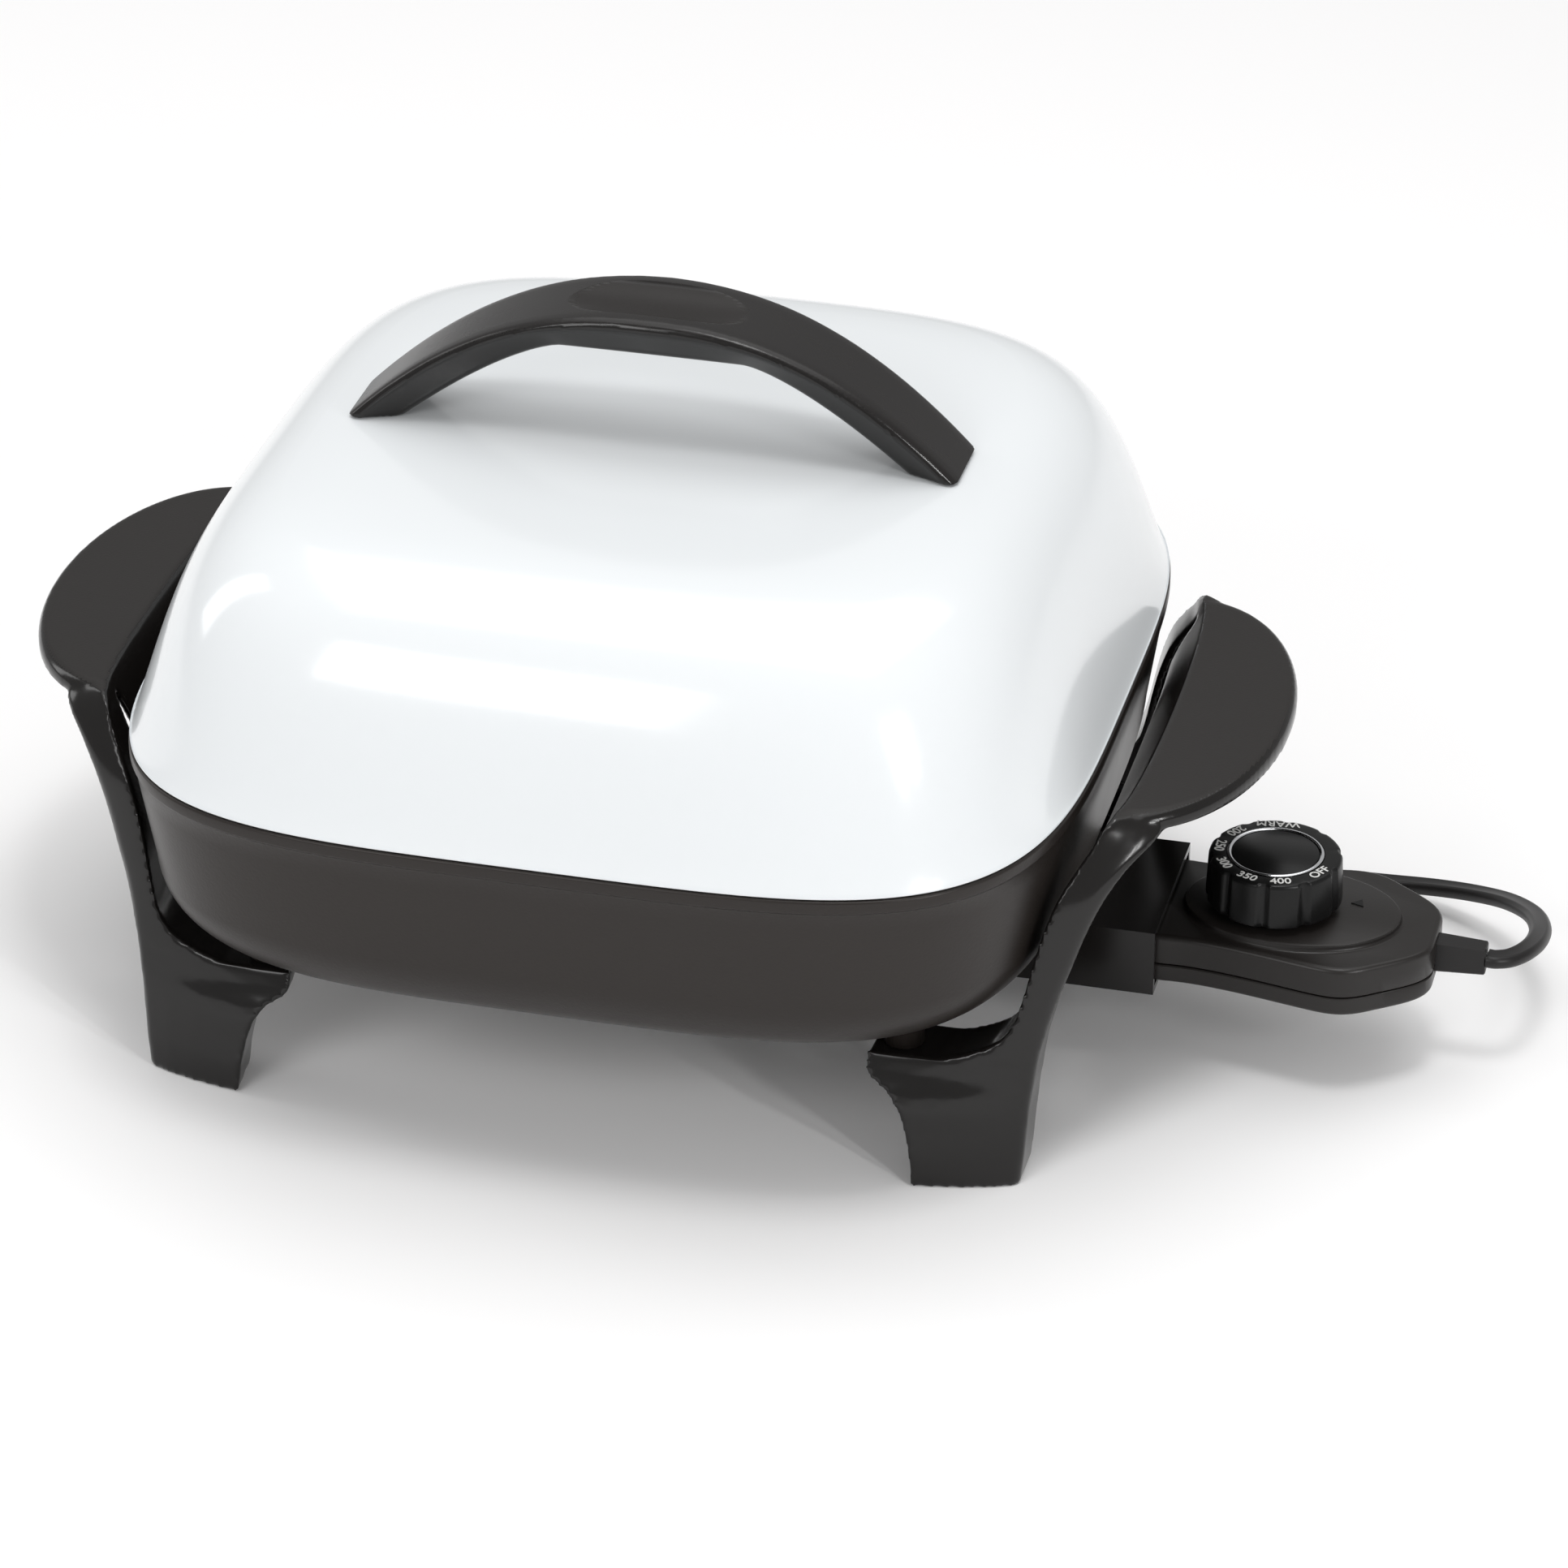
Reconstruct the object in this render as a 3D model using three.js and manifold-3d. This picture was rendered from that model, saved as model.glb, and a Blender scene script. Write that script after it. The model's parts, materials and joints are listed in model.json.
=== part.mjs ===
// Electric skillet: a square cast pan on two handle-and-leg mouldings, a high domed lid with an arched
// handle, and a plug-in heat control with a dial, a probe and a mains cord.
// Millimetres, +Z up, -Y the front, +X the side of the heat control. z = 0 is the table.
import * as THREE from "three";
import { mergeVertices } from "three/addons/utils/BufferGeometryUtils.js";
import Module from "manifold-3d";

// ---- Driving dimensions -------------------------------------------------------------------------

const GAP = 0.3; // left between pieces that touch
const OUTLINE_POWER = 4; // superellipse power of the square outline
const OUTLINE_STEPS = 36; // points round the square outline

const PAN_HALF = 145; // half width of the pan over its rim
const PAN_RIM_Z = 112.6; // top of the rim
const PAN_BOTTOM_Z = 50.5; // underside of the flat base
const PAN_WALL = 3.4;
const PAN_BASE = 5;
const PAN_DRAFT = 4.4; // how far the wall leans in from the rim to the bottom radius
const PAN_CORNER = 25; // radius between the wall and the base
const RIM_BAND = 5; // height of the thicker band under the rim
const RIM_STEP = 1.2; // how far that band stands out of the wall

const LID_HEIGHT = 69.6; // rise of the dome over the rim
const LID_WALL = 1.6;
const LID_FULLNESS = 10.8; // how square the dome's profile is
const LID_SHOULDER = 1.43; // how soft its shoulder is
const LID_LIP_DEPTH = 5; // the locating lip that hangs inside the pan
const LID_LIP_PLAY = 1.2;

const ARCH_HALF = 94; // half length of the lid handle
const ARCH_FOOT = 80; // inner end of its feet
const ARCH_RISE = 43.5; // top of the arch over the crown of the lid
const ARCH_CLEAR = 29; // finger room over the crown
const ARCH_KINK_X = 28; // where the flat underside turns down
const ARCH_DROP = 43.5; // fall of the top from the middle to the ends
const ARCH_WIDTH = 36; // across the top at the middle
const ARCH_END_WIDTH = 28;
const ARCH_UNDER_WIDTH = 19;
const THUMB_DEPTH = 3.5; // hollow in the middle of the handle's top
const THUMB_RAISE = 1; // middle of the ellipsoid that cuts it, over the top
const THUMB_LENGTH = 110; // length and width of that ellipsoid
const THUMB_WIDTH = 24.6;
const LID_SCREW_X = 85;
const WASHER_RADIUS = 6;

const GRIP_X = PAN_HALF + 8.9; // where the crescent grips begin
const GRIP_REACH = 39.2; // how far they reach out
const GRIP_HALF = 68.1; // half length along Y
const GRIP_BULGE = 5.3; // how far the inner edge bows out
const GRIP_TOP_Z = 111.5;
const GRIP_LIP = 7; // height of the rounded lip
const GRIP_PLATE = 4; // thickness of the plate
const GRIP_WALL = 3;
const GRIP_FLARE = 0.8; // how far the lip swells beyond the plate's edge
const APRON_BOTTOM_Z = 88; // lower edge of the wall between the grip and the pan
const APRON_HALF = 62;

const SHELF_Z = 39.6; // top of the bracket that carries the pan
const SHELF_THICKNESS = 5.6;
const LEG_Y = GRIP_HALF + 29.4; // front and rear legs, under the ends of the grip
const LEG_DEPTH = 18;
const LEG_WALL = 3.2;
const BOSS_X = PAN_HALF - 47; // the pan's fixing bosses
const BOSS_Y = LEG_Y - 5.5;
const BOSS_RADIUS = 6;

const SCREW_RADIUS = 2;
const SCREW_HEAD_RADIUS = 3.8;
const SCREW_HEAD_HEIGHT = 2.4;
const SCREW_PLAY = 0.35;

const PLUG_Z = 37; // height of the probe, the terminal pins and the cord's exit
const PIN_Y = 11; // terminal pins either side of the probe
const PIN_RADIUS = 2.2;
const PROBE_RADIUS = 3;
const PROBE_COLLAR_RADIUS = 5;
const PROBE_TIP_X = PAN_HALF - 61;
const GUARD_START_X = PAN_HALF - 39;
const GUARD_END_X = GUARD_START_X + 54;
const GUARD_SCREW_X = GUARD_START_X + 11;
const GUARD_HALF = 28;
const GUARD_BOTTOM_Z = 26;
const GUARD_TOP_Z = 47.5;
const GUARD_WALL = 2;

const ELEMENT_RADIUS = 3.4;
const ELEMENT_Z = 46.4;
const RIB_WIDTH = 13;
const RIB_BOTTOM_Z = 44;

const NOSE_X = GUARD_START_X + 28; // inner end of the heat control
const WAIST_X = GUARD_END_X + 2;
const CORNER_X = NOSE_X + 82; // the housing's widest place
const CONTROL_END_X = NOSE_X + 107.5;
const CONTROL_END_HALF = 7.5; // half width of its flat end
const CONTROL_NOSE_HALF = 24;
const CONTROL_WAIST_HALF = 22.5;
const CONTROL_HALF = 30.5; // widest half width
const CONTROL_BOTTOM_Z = 28.4;
const CONTROL_SPLIT_Z = 34.6;
const CONTROL_TOP_Z = 44.5;
const CONTROL_WALL = 2.2;
const PLATFORM_RISE = 2.4; // raised oval under the dial

const DIAL_X = NOSE_X + 57;
const DIAL_RADIUS = 20.2;
const DIAL_TOP_Z = 64.4;
const DIAL_BOTTOM_Z = 49.6;
const DIAL_FLUTES = 10;
const SPINDLE_RADIUS = 3;

const CONTROL_BEVEL = 1.6;
const CONTROL_SCREWS = [
  [NOSE_X + 34, -14],
  [NOSE_X + 34, 14],
  [NOSE_X + 92, 0],
];

const RING_OUTER = 14.6; // the dial's bright ring
const RING_INNER = 13.4;
const RING_SINK = 1.8;

const RELIEF_LENGTH = 20;
const RELIEF_HALF_WIDTH = 3.4;
const RELIEF_HALF_HEIGHT = 5.2;
const CORD_WIDTH = 7; // twin lead
const COIL_TURN = 77; // diameter at the middle of the coil's turns
const COIL_X = -36.5;
const COIL_Y = 192;
const COIL_LOW_Z = 1.6;
const COIL_LAYERS = 2;
const TIE_ROOM = 1;

const PLUG_AXIS_Z = 9.6;
const BLADE_Y = 6.35;
const BLADE_LENGTH = 16;

// The crown of the lid.
const CROWN_Z = PAN_RIM_Z + GAP + LID_HEIGHT;
// The cord left out, the object reaches from the left grip to the end of the strain relief.
const RELIEF_START_X = CONTROL_END_X - 5;
const RELIEF_END_X = RELIEF_START_X + RELIEF_LENGTH;
const CENTRE_X = (RELIEF_END_X - (GRIP_X + GRIP_REACH + GRIP_FLARE)) / 2;

// ---- Solids -------------------------------------------------------------------------------------

const wasm = await Module();
wasm.setup();

const range = (count) => Array.from({ length: count }, (_, i) => i);
const mix = (a, b, t) => a + (b - a) * t;
const v3 = (x, y, z) => new THREE.Vector3(x, y, z);

// A closed three.js geometry as a solid that can be joined and cut.
function solid(geometry) {
  const plain = geometry.index ? geometry.toNonIndexed() : geometry.clone();
  const bare = new THREE.BufferGeometry().setAttribute("position", plain.getAttribute("position"));
  const merged = mergeVertices(bare, 1e-4);
  const mesh = new wasm.Mesh({
    numProp: 3,
    vertProperties: merged.attributes.position.array,
    triVerts: new Uint32Array(merged.index.array),
  });
  return new wasm.Manifold(mesh);
}

// A solid back as a three.js geometry.
function geometryOf(manifold) {
  const mesh = manifold.getMesh();
  const geometry = new THREE.BufferGeometry();
  geometry.setAttribute("position", new THREE.BufferAttribute(mesh.vertProperties, 3));
  geometry.setIndex(new THREE.BufferAttribute(mesh.triVerts, 1));
  return geometry.toNonIndexed();
}

// Turns a geometry about X, Y, Z and moves it.
function placed(geometry, position, turn = [0, 0, 0]) {
  const matrix = new THREE.Matrix4().makeRotationFromEuler(new THREE.Euler(...turn));
  matrix.setPosition(...position);
  return geometry.applyMatrix4(matrix);
}

const box = (size, centre) => solid(placed(new THREE.BoxGeometry(...size), centre));

// A box given by its lowest and highest corners.
function block(low, high) {
  const size = low.map((value, i) => high[i] - value);
  return box(size, low.map((value, i) => (value + high[i]) / 2));
}

// A cylinder along Z, from z0 to z1.
function post(radius, x, y, z0, z1, sides = 16) {
  const shape = new THREE.CylinderGeometry(radius, radius, z1 - z0, sides);
  return solid(placed(shape, [x, y, (z0 + z1) / 2], [Math.PI / 2, 0, 0]));
}

// A cylinder along X, from x0 to x1.
function bar(radius, x0, x1, y, z, sides = 12) {
  const shape = new THREE.CylinderGeometry(radius, radius, x1 - x0, sides);
  return solid(placed(shape, [(x0 + x1) / 2, y, z], [0, 0, -Math.PI / 2]));
}

// Triangles of a flat ring of points, seen along its own normal.
function capFaces(ring) {
  const normal = v3(0, 0, 0);
  ring.forEach((p, i) => {
    const q = ring[(i + 1) % ring.length];
    normal.add(v3((p.y - q.y) * (p.z + q.z), (p.z - q.z) * (p.x + q.x), (p.x - q.x) * (p.y + q.y)));
  });
  normal.normalize();
  const across = v3(0, 0, 1).cross(normal);
  if (across.length() < 0.1) across.set(1, 0, 0);
  across.normalize();
  const along = normal.clone().cross(across);
  const flat = ring.map((p) => new THREE.Vector2(p.dot(across), p.dot(along)));
  return THREE.ShapeUtils.triangulateShape(flat, []);
}

// A skin over rings of equal count, each counter-clockwise seen from the last ring, with both ends capped.
function loft(rings) {
  const count = rings[0].length;
  const faces = [];
  range(rings.length - 1).forEach((k) => {
    range(count).forEach((i) => {
      const a = k * count + i;
      const b = k * count + ((i + 1) % count);
      faces.push(a, b, b + count, a, b + count, a + count);
    });
  });
  const last = (rings.length - 1) * count;
  capFaces(rings[0]).forEach(([a, b, c]) => faces.push(a, c, b));
  capFaces(rings[rings.length - 1]).forEach(([a, b, c]) => faces.push(last + a, last + b, last + c));
  const geometry = new THREE.BufferGeometry().setFromPoints(rings.flat());
  geometry.setIndex(faces);
  return solid(geometry);
}

// The rounded-square outline of pan and lid at one height.
function squareRing(half, z) {
  const bend = 2 / OUTLINE_POWER;
  return range(OUTLINE_STEPS).map((i) => {
    const angle = (2 * Math.PI * (i + 0.5)) / OUTLINE_STEPS;
    const c = Math.cos(angle);
    const s = Math.sin(angle);
    return v3(half * Math.sign(c) * Math.abs(c) ** bend, half * Math.sign(s) * Math.abs(s) ** bend, z);
  });
}

// Half width of the pan's outline at a distance along its side.
const panEdge = (y) => PAN_HALF * (1 - (y / PAN_HALF) ** OUTLINE_POWER) ** (1 / OUTLINE_POWER);

const squareLoft = (levels) => loft(levels.map(([half, z]) => squareRing(half, z)));

// A tube along a curve, as an extruded section of a few sides.
function tube(curve, width, height, sides, steps) {
  const section = new THREE.Shape(
    range(sides).map((i) => {
      const angle = (2 * Math.PI * (i + 0.5)) / sides;
      return new THREE.Vector2((height / 2) * Math.cos(angle), (width / 2) * Math.sin(angle));
    }),
  );
  return new THREE.ExtrudeGeometry(section, { extrudePath: curve, steps, bevelEnabled: false });
}

// ---- The assembly -------------------------------------------------------------------------------

const skillet = new THREE.Group();
skillet.position.x = -CENTRE_X;

const finish = {
  nonstick: new THREE.MeshStandardMaterial({ color: 0x2b2624, roughness: 0.42, metalness: 0.35 }),
  enamel: new THREE.MeshStandardMaterial({ color: 0xe9edef, roughness: 0.16, metalness: 0 }),
  phenolic: new THREE.MeshStandardMaterial({ color: 0x171514, roughness: 0.3, metalness: 0 }),
  control: new THREE.MeshStandardMaterial({ color: 0x1a1817, roughness: 0.38, metalness: 0 }),
  dial: new THREE.MeshStandardMaterial({ color: 0x0e0e0e, roughness: 0.3, metalness: 0 }),
  steel: new THREE.MeshStandardMaterial({ color: 0xb9bcc0, roughness: 0.3, metalness: 1 }),
  sheath: new THREE.MeshStandardMaterial({ color: 0x6f6c68, roughness: 0.5, metalness: 0.9 }),
  brass: new THREE.MeshStandardMaterial({ color: 0xb08d4a, roughness: 0.35, metalness: 1 }),
  ceramic: new THREE.MeshStandardMaterial({ color: 0xd9d3c7, roughness: 0.7, metalness: 0 }),
  cord: new THREE.MeshStandardMaterial({ color: 0x121212, roughness: 0.6, metalness: 0 }),
};

function add(name, manifold, material, mirrored = false) {
  const mesh = new THREE.Mesh(geometryOf(manifold), material);
  mesh.name = name;
  if (mirrored) mesh.scale.x = -1;
  skillet.add(mesh);
}

// A screw along +Z whose head is at the bottom.
function screw(x, y, headZ, tipZ) {
  const head = post(SCREW_HEAD_RADIUS, x, y, headZ, headZ + SCREW_HEAD_HEIGHT, 12);
  const slot = block([x - 5, y - 0.5, headZ - 1], [x + 5, y + 0.5, headZ + 0.8]);
  return head.add(post(SCREW_RADIUS, x, y, headZ + 1, tipZ, 10)).subtract(slot);
}

// ---- Pan ----------------------------------------------------------------------------------------

// Half widths and heights of the pan's profile, with the wall set in by a skin thickness.
function panProfile(skin, floorZ) {
  const wallFoot = PAN_HALF - RIM_STEP - PAN_DRAFT - skin;
  const radius = PAN_CORNER - skin;
  const curve = [0, 22, 45, 68, 90].map((degrees) => {
    const angle = THREE.MathUtils.degToRad(degrees);
    return [wallFoot - radius * (1 - Math.sin(angle)), floorZ + radius * (1 - Math.cos(angle))];
  });
  return [...curve, [PAN_HALF - RIM_STEP - skin, PAN_RIM_Z - RIM_BAND]];
}

// The route of the heating element under the base, from the front terminal round to the rear one.
function elementPoints() {
  const half = [
    [GUARD_START_X + 6, -PIN_Y, PLUG_Z],
    [GUARD_START_X - 1, -PIN_Y, PLUG_Z + 0.4],
    [GUARD_START_X - 12, -PIN_Y - 1, ELEMENT_Z],
    [GUARD_START_X - 22, -20, ELEMENT_Z],
    [GUARD_START_X - 26, -48, ELEMENT_Z],
    [60, -74, ELEMENT_Z],
    [0, -84, ELEMENT_Z],
    [-58, -76, ELEMENT_Z],
    [-84, -42, ELEMENT_Z],
  ];
  const front = half.map((p) => v3(...p));
  const rear = half.map(([x, y, z]) => v3(x, -y, z)).reverse();
  return [...front, v3(-90, 0, ELEMENT_Z), ...rear];
}

// The same route without its ends, flat at one height.
function ribCurve() {
  const points = elementPoints().slice(2, -2);
  return new THREE.CatmullRomCurve3(points.map((p) => v3(p.x, p.y, 0)));
}

function makePan() {
  const rimOuter = [
    [PAN_HALF - 0.4, PAN_RIM_Z - RIM_BAND + 1],
    [PAN_HALF, PAN_RIM_Z - 1.2],
    [PAN_HALF - 0.8, PAN_RIM_Z],
  ];
  const outer = squareLoft([...panProfile(0, PAN_BOTTOM_Z), ...rimOuter]);
  const inside = panProfile(PAN_WALL, PAN_BOTTOM_Z + PAN_BASE);
  const inner = squareLoft([...inside, [PAN_HALF - RIM_STEP - PAN_WALL, PAN_RIM_Z + 2]]);
  let pan = outer.subtract(inner);

  // Raised rib under the base with the groove that holds the element.
  const ribHeight = PAN_BOTTOM_Z + 1 - RIB_BOTTOM_Z;
  const rib = placed(tube(ribCurve(), RIB_WIDTH, ribHeight * 1.35, 4, 36), [0, 0, PAN_BOTTOM_Z + 1]);
  const below = block([-120, -120, RIB_BOTTOM_Z], [120, 120, PAN_BOTTOM_Z + 1]);
  pan = pan.add(solid(rib).intersect(below));
  pan = pan.subtract(solid(tube(elementCurve(), 2 * elementRoom, 2 * elementRoom, 8, 48)));

  // Fixing bosses over the brackets, and two over the guard.
  [-1, 1].forEach((side) => {
    [-1, 1].forEach((end) => {
      const x = side * BOSS_X;
      const y = end * BOSS_Y;
      pan = pan.add(post(BOSS_RADIUS, x, y, SHELF_Z + GAP, PAN_BOTTOM_Z + 1));
      pan = pan.subtract(post(SCREW_RADIUS + SCREW_PLAY, x, y, SHELF_Z, PAN_BOTTOM_Z + 1.5, 10));
    });
    const y = side * (GUARD_HALF - 7);
    pan = pan.add(post(BOSS_RADIUS - 1, GUARD_SCREW_X, y, GUARD_TOP_Z + GAP, PAN_BOTTOM_Z + 1));
    pan = pan.subtract(post(SCREW_RADIUS + SCREW_PLAY, GUARD_SCREW_X, y, GUARD_TOP_Z, PAN_BOTTOM_Z + 2, 10));
  });

  // The socket that the probe's tip slides into.
  const socket = block([PROBE_TIP_X - 6, -7, PLUG_Z - 6], [PROBE_TIP_X + 12, 7, PAN_BOTTOM_Z + 1]);
  const bore = bar(PROBE_RADIUS + 0.4, PROBE_TIP_X - GAP, PROBE_TIP_X + 14, 0, PLUG_Z);
  return pan.add(socket).subtract(bore);
}

const elementRoom = ELEMENT_RADIUS + GAP;
const elementCurve = () => new THREE.CatmullRomCurve3(elementPoints());

add("pan", makePan(), finish.nonstick);
const element = solid(tube(elementCurve(), 2 * ELEMENT_RADIUS, 2 * ELEMENT_RADIUS, 8, 48));
add("heating_element", element, finish.sheath);

// ---- Lid ----------------------------------------------------------------------------------------

// Half width and height of the dome at a share of its width, set in by a skin thickness.
function domeLevel(share, skin) {
  const rise = (1 - share ** LID_FULLNESS) ** LID_SHOULDER;
  return [share * PAN_HALF - skin, PAN_RIM_Z + GAP + rise * LID_HEIGHT - skin];
}

// Share of the dome's width just outside the washers, whose height they seat against.
const WASHER_SHARE = (LID_SCREW_X + WASHER_RADIUS + 3) / PAN_HALF;

// The dome from its rim to its crown, grown outwards by a skin thickness that may be negative.
function domeSolid(skin) {
  const shares = [0.993, 0.98, 0.96, 0.93, 0.885, 0.82, 0.73, WASHER_SHARE, 0.4].sort((a, b) => b - a);
  const base = [PAN_HALF - 0.3 - skin, PAN_RIM_Z + GAP - Math.max(skin, 0) * 2];
  return squareLoft([base, ...shares.map((share) => domeLevel(share, skin))]);
}

function makeLid() {
  const lipOut = PAN_HALF - RIM_STEP - PAN_WALL - LID_LIP_PLAY;
  const flangeTop = PAN_RIM_Z + GAP + LID_WALL;
  const lip = squareLoft([
    [lipOut, PAN_RIM_Z - LID_LIP_DEPTH],
    [lipOut, flangeTop],
  ]);
  const throat = squareLoft([
    [lipOut - LID_WALL, PAN_RIM_Z - LID_LIP_DEPTH - 2],
    [lipOut - LID_WALL, flangeTop + 3],
  ]);
  const above = block([-200, -200, flangeTop], [200, 200, CROWN_Z + 20]);
  let lid = domeSolid(0).subtract(domeSolid(LID_WALL).intersect(above)).add(lip).subtract(throat);
  [-1, 1].forEach((side) => {
    lid = lid.subtract(post(SCREW_RADIUS + SCREW_PLAY, side * LID_SCREW_X, 0, CROWN_Z - 12, CROWN_Z + 4, 10));
  });
  return lid;
}

// One section across the lid handle; travel runs from -1 at the left end to 1 at the right.
function archRing(travel) {
  const reach = Math.abs(travel);
  const topX = travel * ARCH_HALF;
  const underX = travel * ARCH_FOOT;
  const topZ = CROWN_Z + ARCH_RISE - ARCH_DROP * reach ** 2.2;
  const fall = Math.max(0, (Math.abs(underX) - ARCH_KINK_X) / (ARCH_FOOT - ARCH_KINK_X)) ** 1.4;
  const underZ = CROWN_Z + ARCH_CLEAR - (ARCH_CLEAR + 2) * fall;
  const top = mix(ARCH_WIDTH, ARCH_END_WIDTH, reach) / 2;
  const under = ARCH_UNDER_WIDTH / 2;
  const shoulder = 0.22;
  const edge = (y, t) => v3(mix(topX, underX, t), y, mix(topZ, underZ, t));
  return [
    edge(-top + 2, 0),
    edge(-top, shoulder),
    edge(-under, 0.94),
    edge(-under + 1, 1),
    edge(under - 1, 1),
    edge(under, 0.94),
    edge(top, shoulder),
    edge(top - 2, 0),
  ];
}

function makeArch() {
  const steps = 24;
  let arch = loft(range(steps + 1).map((i) => archRing((2 * i) / steps - 1)));
  const thumb = new THREE.SphereGeometry(1, 24, 12);
  thumb.scale(THUMB_LENGTH / 2, THUMB_WIDTH / 2, THUMB_DEPTH + THUMB_RAISE);
  arch = arch.subtract(solid(placed(thumb, [0, 0, CROWN_Z + ARCH_RISE + THUMB_RAISE])));
  arch = arch.subtract(domeSolid(-GAP));
  [-1, 1].forEach((side) => {
    arch = arch.subtract(post(SCREW_RADIUS + SCREW_PLAY, side * LID_SCREW_X, 0, CROWN_Z - 5,
      CROWN_Z + 3.4, 10));
  });
  return arch;
}

function addLid() {
  add("lid_dome", makeLid(), finish.enamel);
  add("lid_handle", makeArch(), finish.phenolic);
  const underZ = domeLevel(WASHER_SHARE, LID_WALL)[1] - GAP;
  [["left", -1], ["right", 1]].forEach(([name, side]) => {
    const x = side * LID_SCREW_X;
    const hole = post(SCREW_RADIUS + SCREW_PLAY, x, 0, underZ - 3, underZ + 3, 10);
    const washer = post(WASHER_RADIUS, x, 0, underZ - 1.2, underZ, 16).subtract(hole);
    add(`lid_washer_${name}`, washer, finish.steel);
    const headZ = underZ - 1.2 - GAP - SCREW_HEAD_HEIGHT;
    add(`lid_screw_${name}`, screw(x, 0, headZ, CROWN_Z + 2.8), finish.steel);
  });
}
addLid();

// ---- Handles and legs ---------------------------------------------------------------------------

// Plan outline of the crescent grip at one height.
function gripRing(reach, half, bulge, z) {
  const steps = 12;
  const outer = range(steps + 1).map((i) => {
    const angle = Math.PI * (i / steps - 0.5);
    return v3(GRIP_X + reach * Math.cos(angle), half * Math.sin(angle), z);
  });
  const inner = range(7).map((i) => {
    const angle = Math.PI * (0.5 - (i + 1) / 8);
    return v3(GRIP_X + bulge * Math.cos(angle), half * Math.sin(angle), z);
  });
  return [...outer, ...inner];
}

function makeGrip() {
  const outline = (grow, z) => gripRing(GRIP_REACH + grow, GRIP_HALF + 2 * grow, GRIP_BULGE, z);
  const body = loft([
    outline(-1, GRIP_TOP_Z - GRIP_LIP),
    outline(GRIP_FLARE, GRIP_TOP_Z - GRIP_LIP + 1.6),
    outline(GRIP_FLARE, GRIP_TOP_Z - 2.4),
    outline(0, GRIP_TOP_Z - 0.8),
    outline(-0.9, GRIP_TOP_Z),
  ]);
  const pocket = loft([
    gripRing(GRIP_REACH - GRIP_WALL - 1, GRIP_HALF - 9, GRIP_BULGE + GRIP_WALL, GRIP_TOP_Z - GRIP_LIP - 1),
    gripRing(GRIP_REACH - GRIP_WALL - 1, GRIP_HALF - 9, GRIP_BULGE + GRIP_WALL, GRIP_TOP_Z - GRIP_PLATE),
  ]);
  return body.subtract(pocket);
}

// The wall that slopes from the grip's inner edge down to the side of the pan.
function makeApron() {
  const steps = 10;
  const ring = (z) => {
    const rise = (z - APRON_BOTTOM_Z) / (GRIP_TOP_Z - APRON_BOTTOM_Z);
    const at = (i) => mix(-APRON_HALF, APRON_HALF, i / steps);
    const foot = (y) => panEdge(y) + 1.2;
    const head = (y) => GRIP_X + GRIP_BULGE * Math.sqrt(1 - (y / GRIP_HALF) ** 2);
    const x = (y) => mix(foot(y), head(y) - 0.2, rise ** 1.3);
    const inner = range(steps + 1).map((i) => v3(x(at(i)), at(i), z));
    const outer = range(steps + 1).map((i) => v3(x(at(i)) + GRIP_WALL, at(i), z));
    return [...outer, ...inner.reverse()];
  };
  return loft([ring(APRON_BOTTOM_Z), ring(95), ring(102), ring(GRIP_TOP_Z - 0.6)]);
}

// The front leg stands at the pan's side, at LEG_Y. Its sections give the inner and outer edges of its
// front face, in plan from that place.
const LEG_X = panEdge(LEG_Y);
const LEG_LEVELS = [
  { z: 0, inner: [-32.7, -11.7], outer: [-1.7, -3.9] },
  { z: 9, inner: [-33.7, -11.1], outer: [-0.9, -3.4] },
  { z: 17, inner: [-35.3, -9.9], outer: [-0.4, -2.7] },
  { z: 24, inner: [-37.7, -9.3], outer: [-0, -2] },
  { z: 29, inner: [-41.3, -8.1], outer: [0.5, -1.3] },
  { z: 32, inner: [-46.2, -6.5], outer: [0.9, -0.9] },
  { z: 34, inner: [-48, -5.5], outer: [1.1, -0.6] },
  { z: SHELF_Z, inner: [-48.1, -3.5], outer: [1.7, 0.2] },
  { z: SHELF_Z + 0.2, inner: [-26.9, -2.9], outer: [1.8, 0.3] },
  { z: 42, inner: [-18.9, -2.1], outer: [2.1, 0.7] },
  { z: 46, inner: [-10.5, -0.7], outer: [3, 1.7] },
  { z: 52, inner: [-5.9, 0.7], outer: [4.4, 3.5] },
  { z: 60, inner: [-3.5, 2.5], outer: [6.8, 6.1] },
  { z: 70, inner: [-1.3, 4.9], outer: [10.1, 8.7] },
  { z: 80, inner: [1.1, 7.1], outer: [13.5, 11.3] },
  { z: 90, inner: [4.5, 9.9], outer: [18.1, 14.7] },
  { z: 98, inner: [8.9, 14.7], outer: [23.5, 19.5] },
  { z: 104, inner: [12.7, 19.3], outer: [29.7, 26.5] },
  { z: 108, inner: [14.7, 22.1], outer: [30.7, 31.5] },
  { z: GRIP_TOP_Z - 0.4, inner: [17.1, 25.9], outer: [23.1, 30.5] },
];

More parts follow.
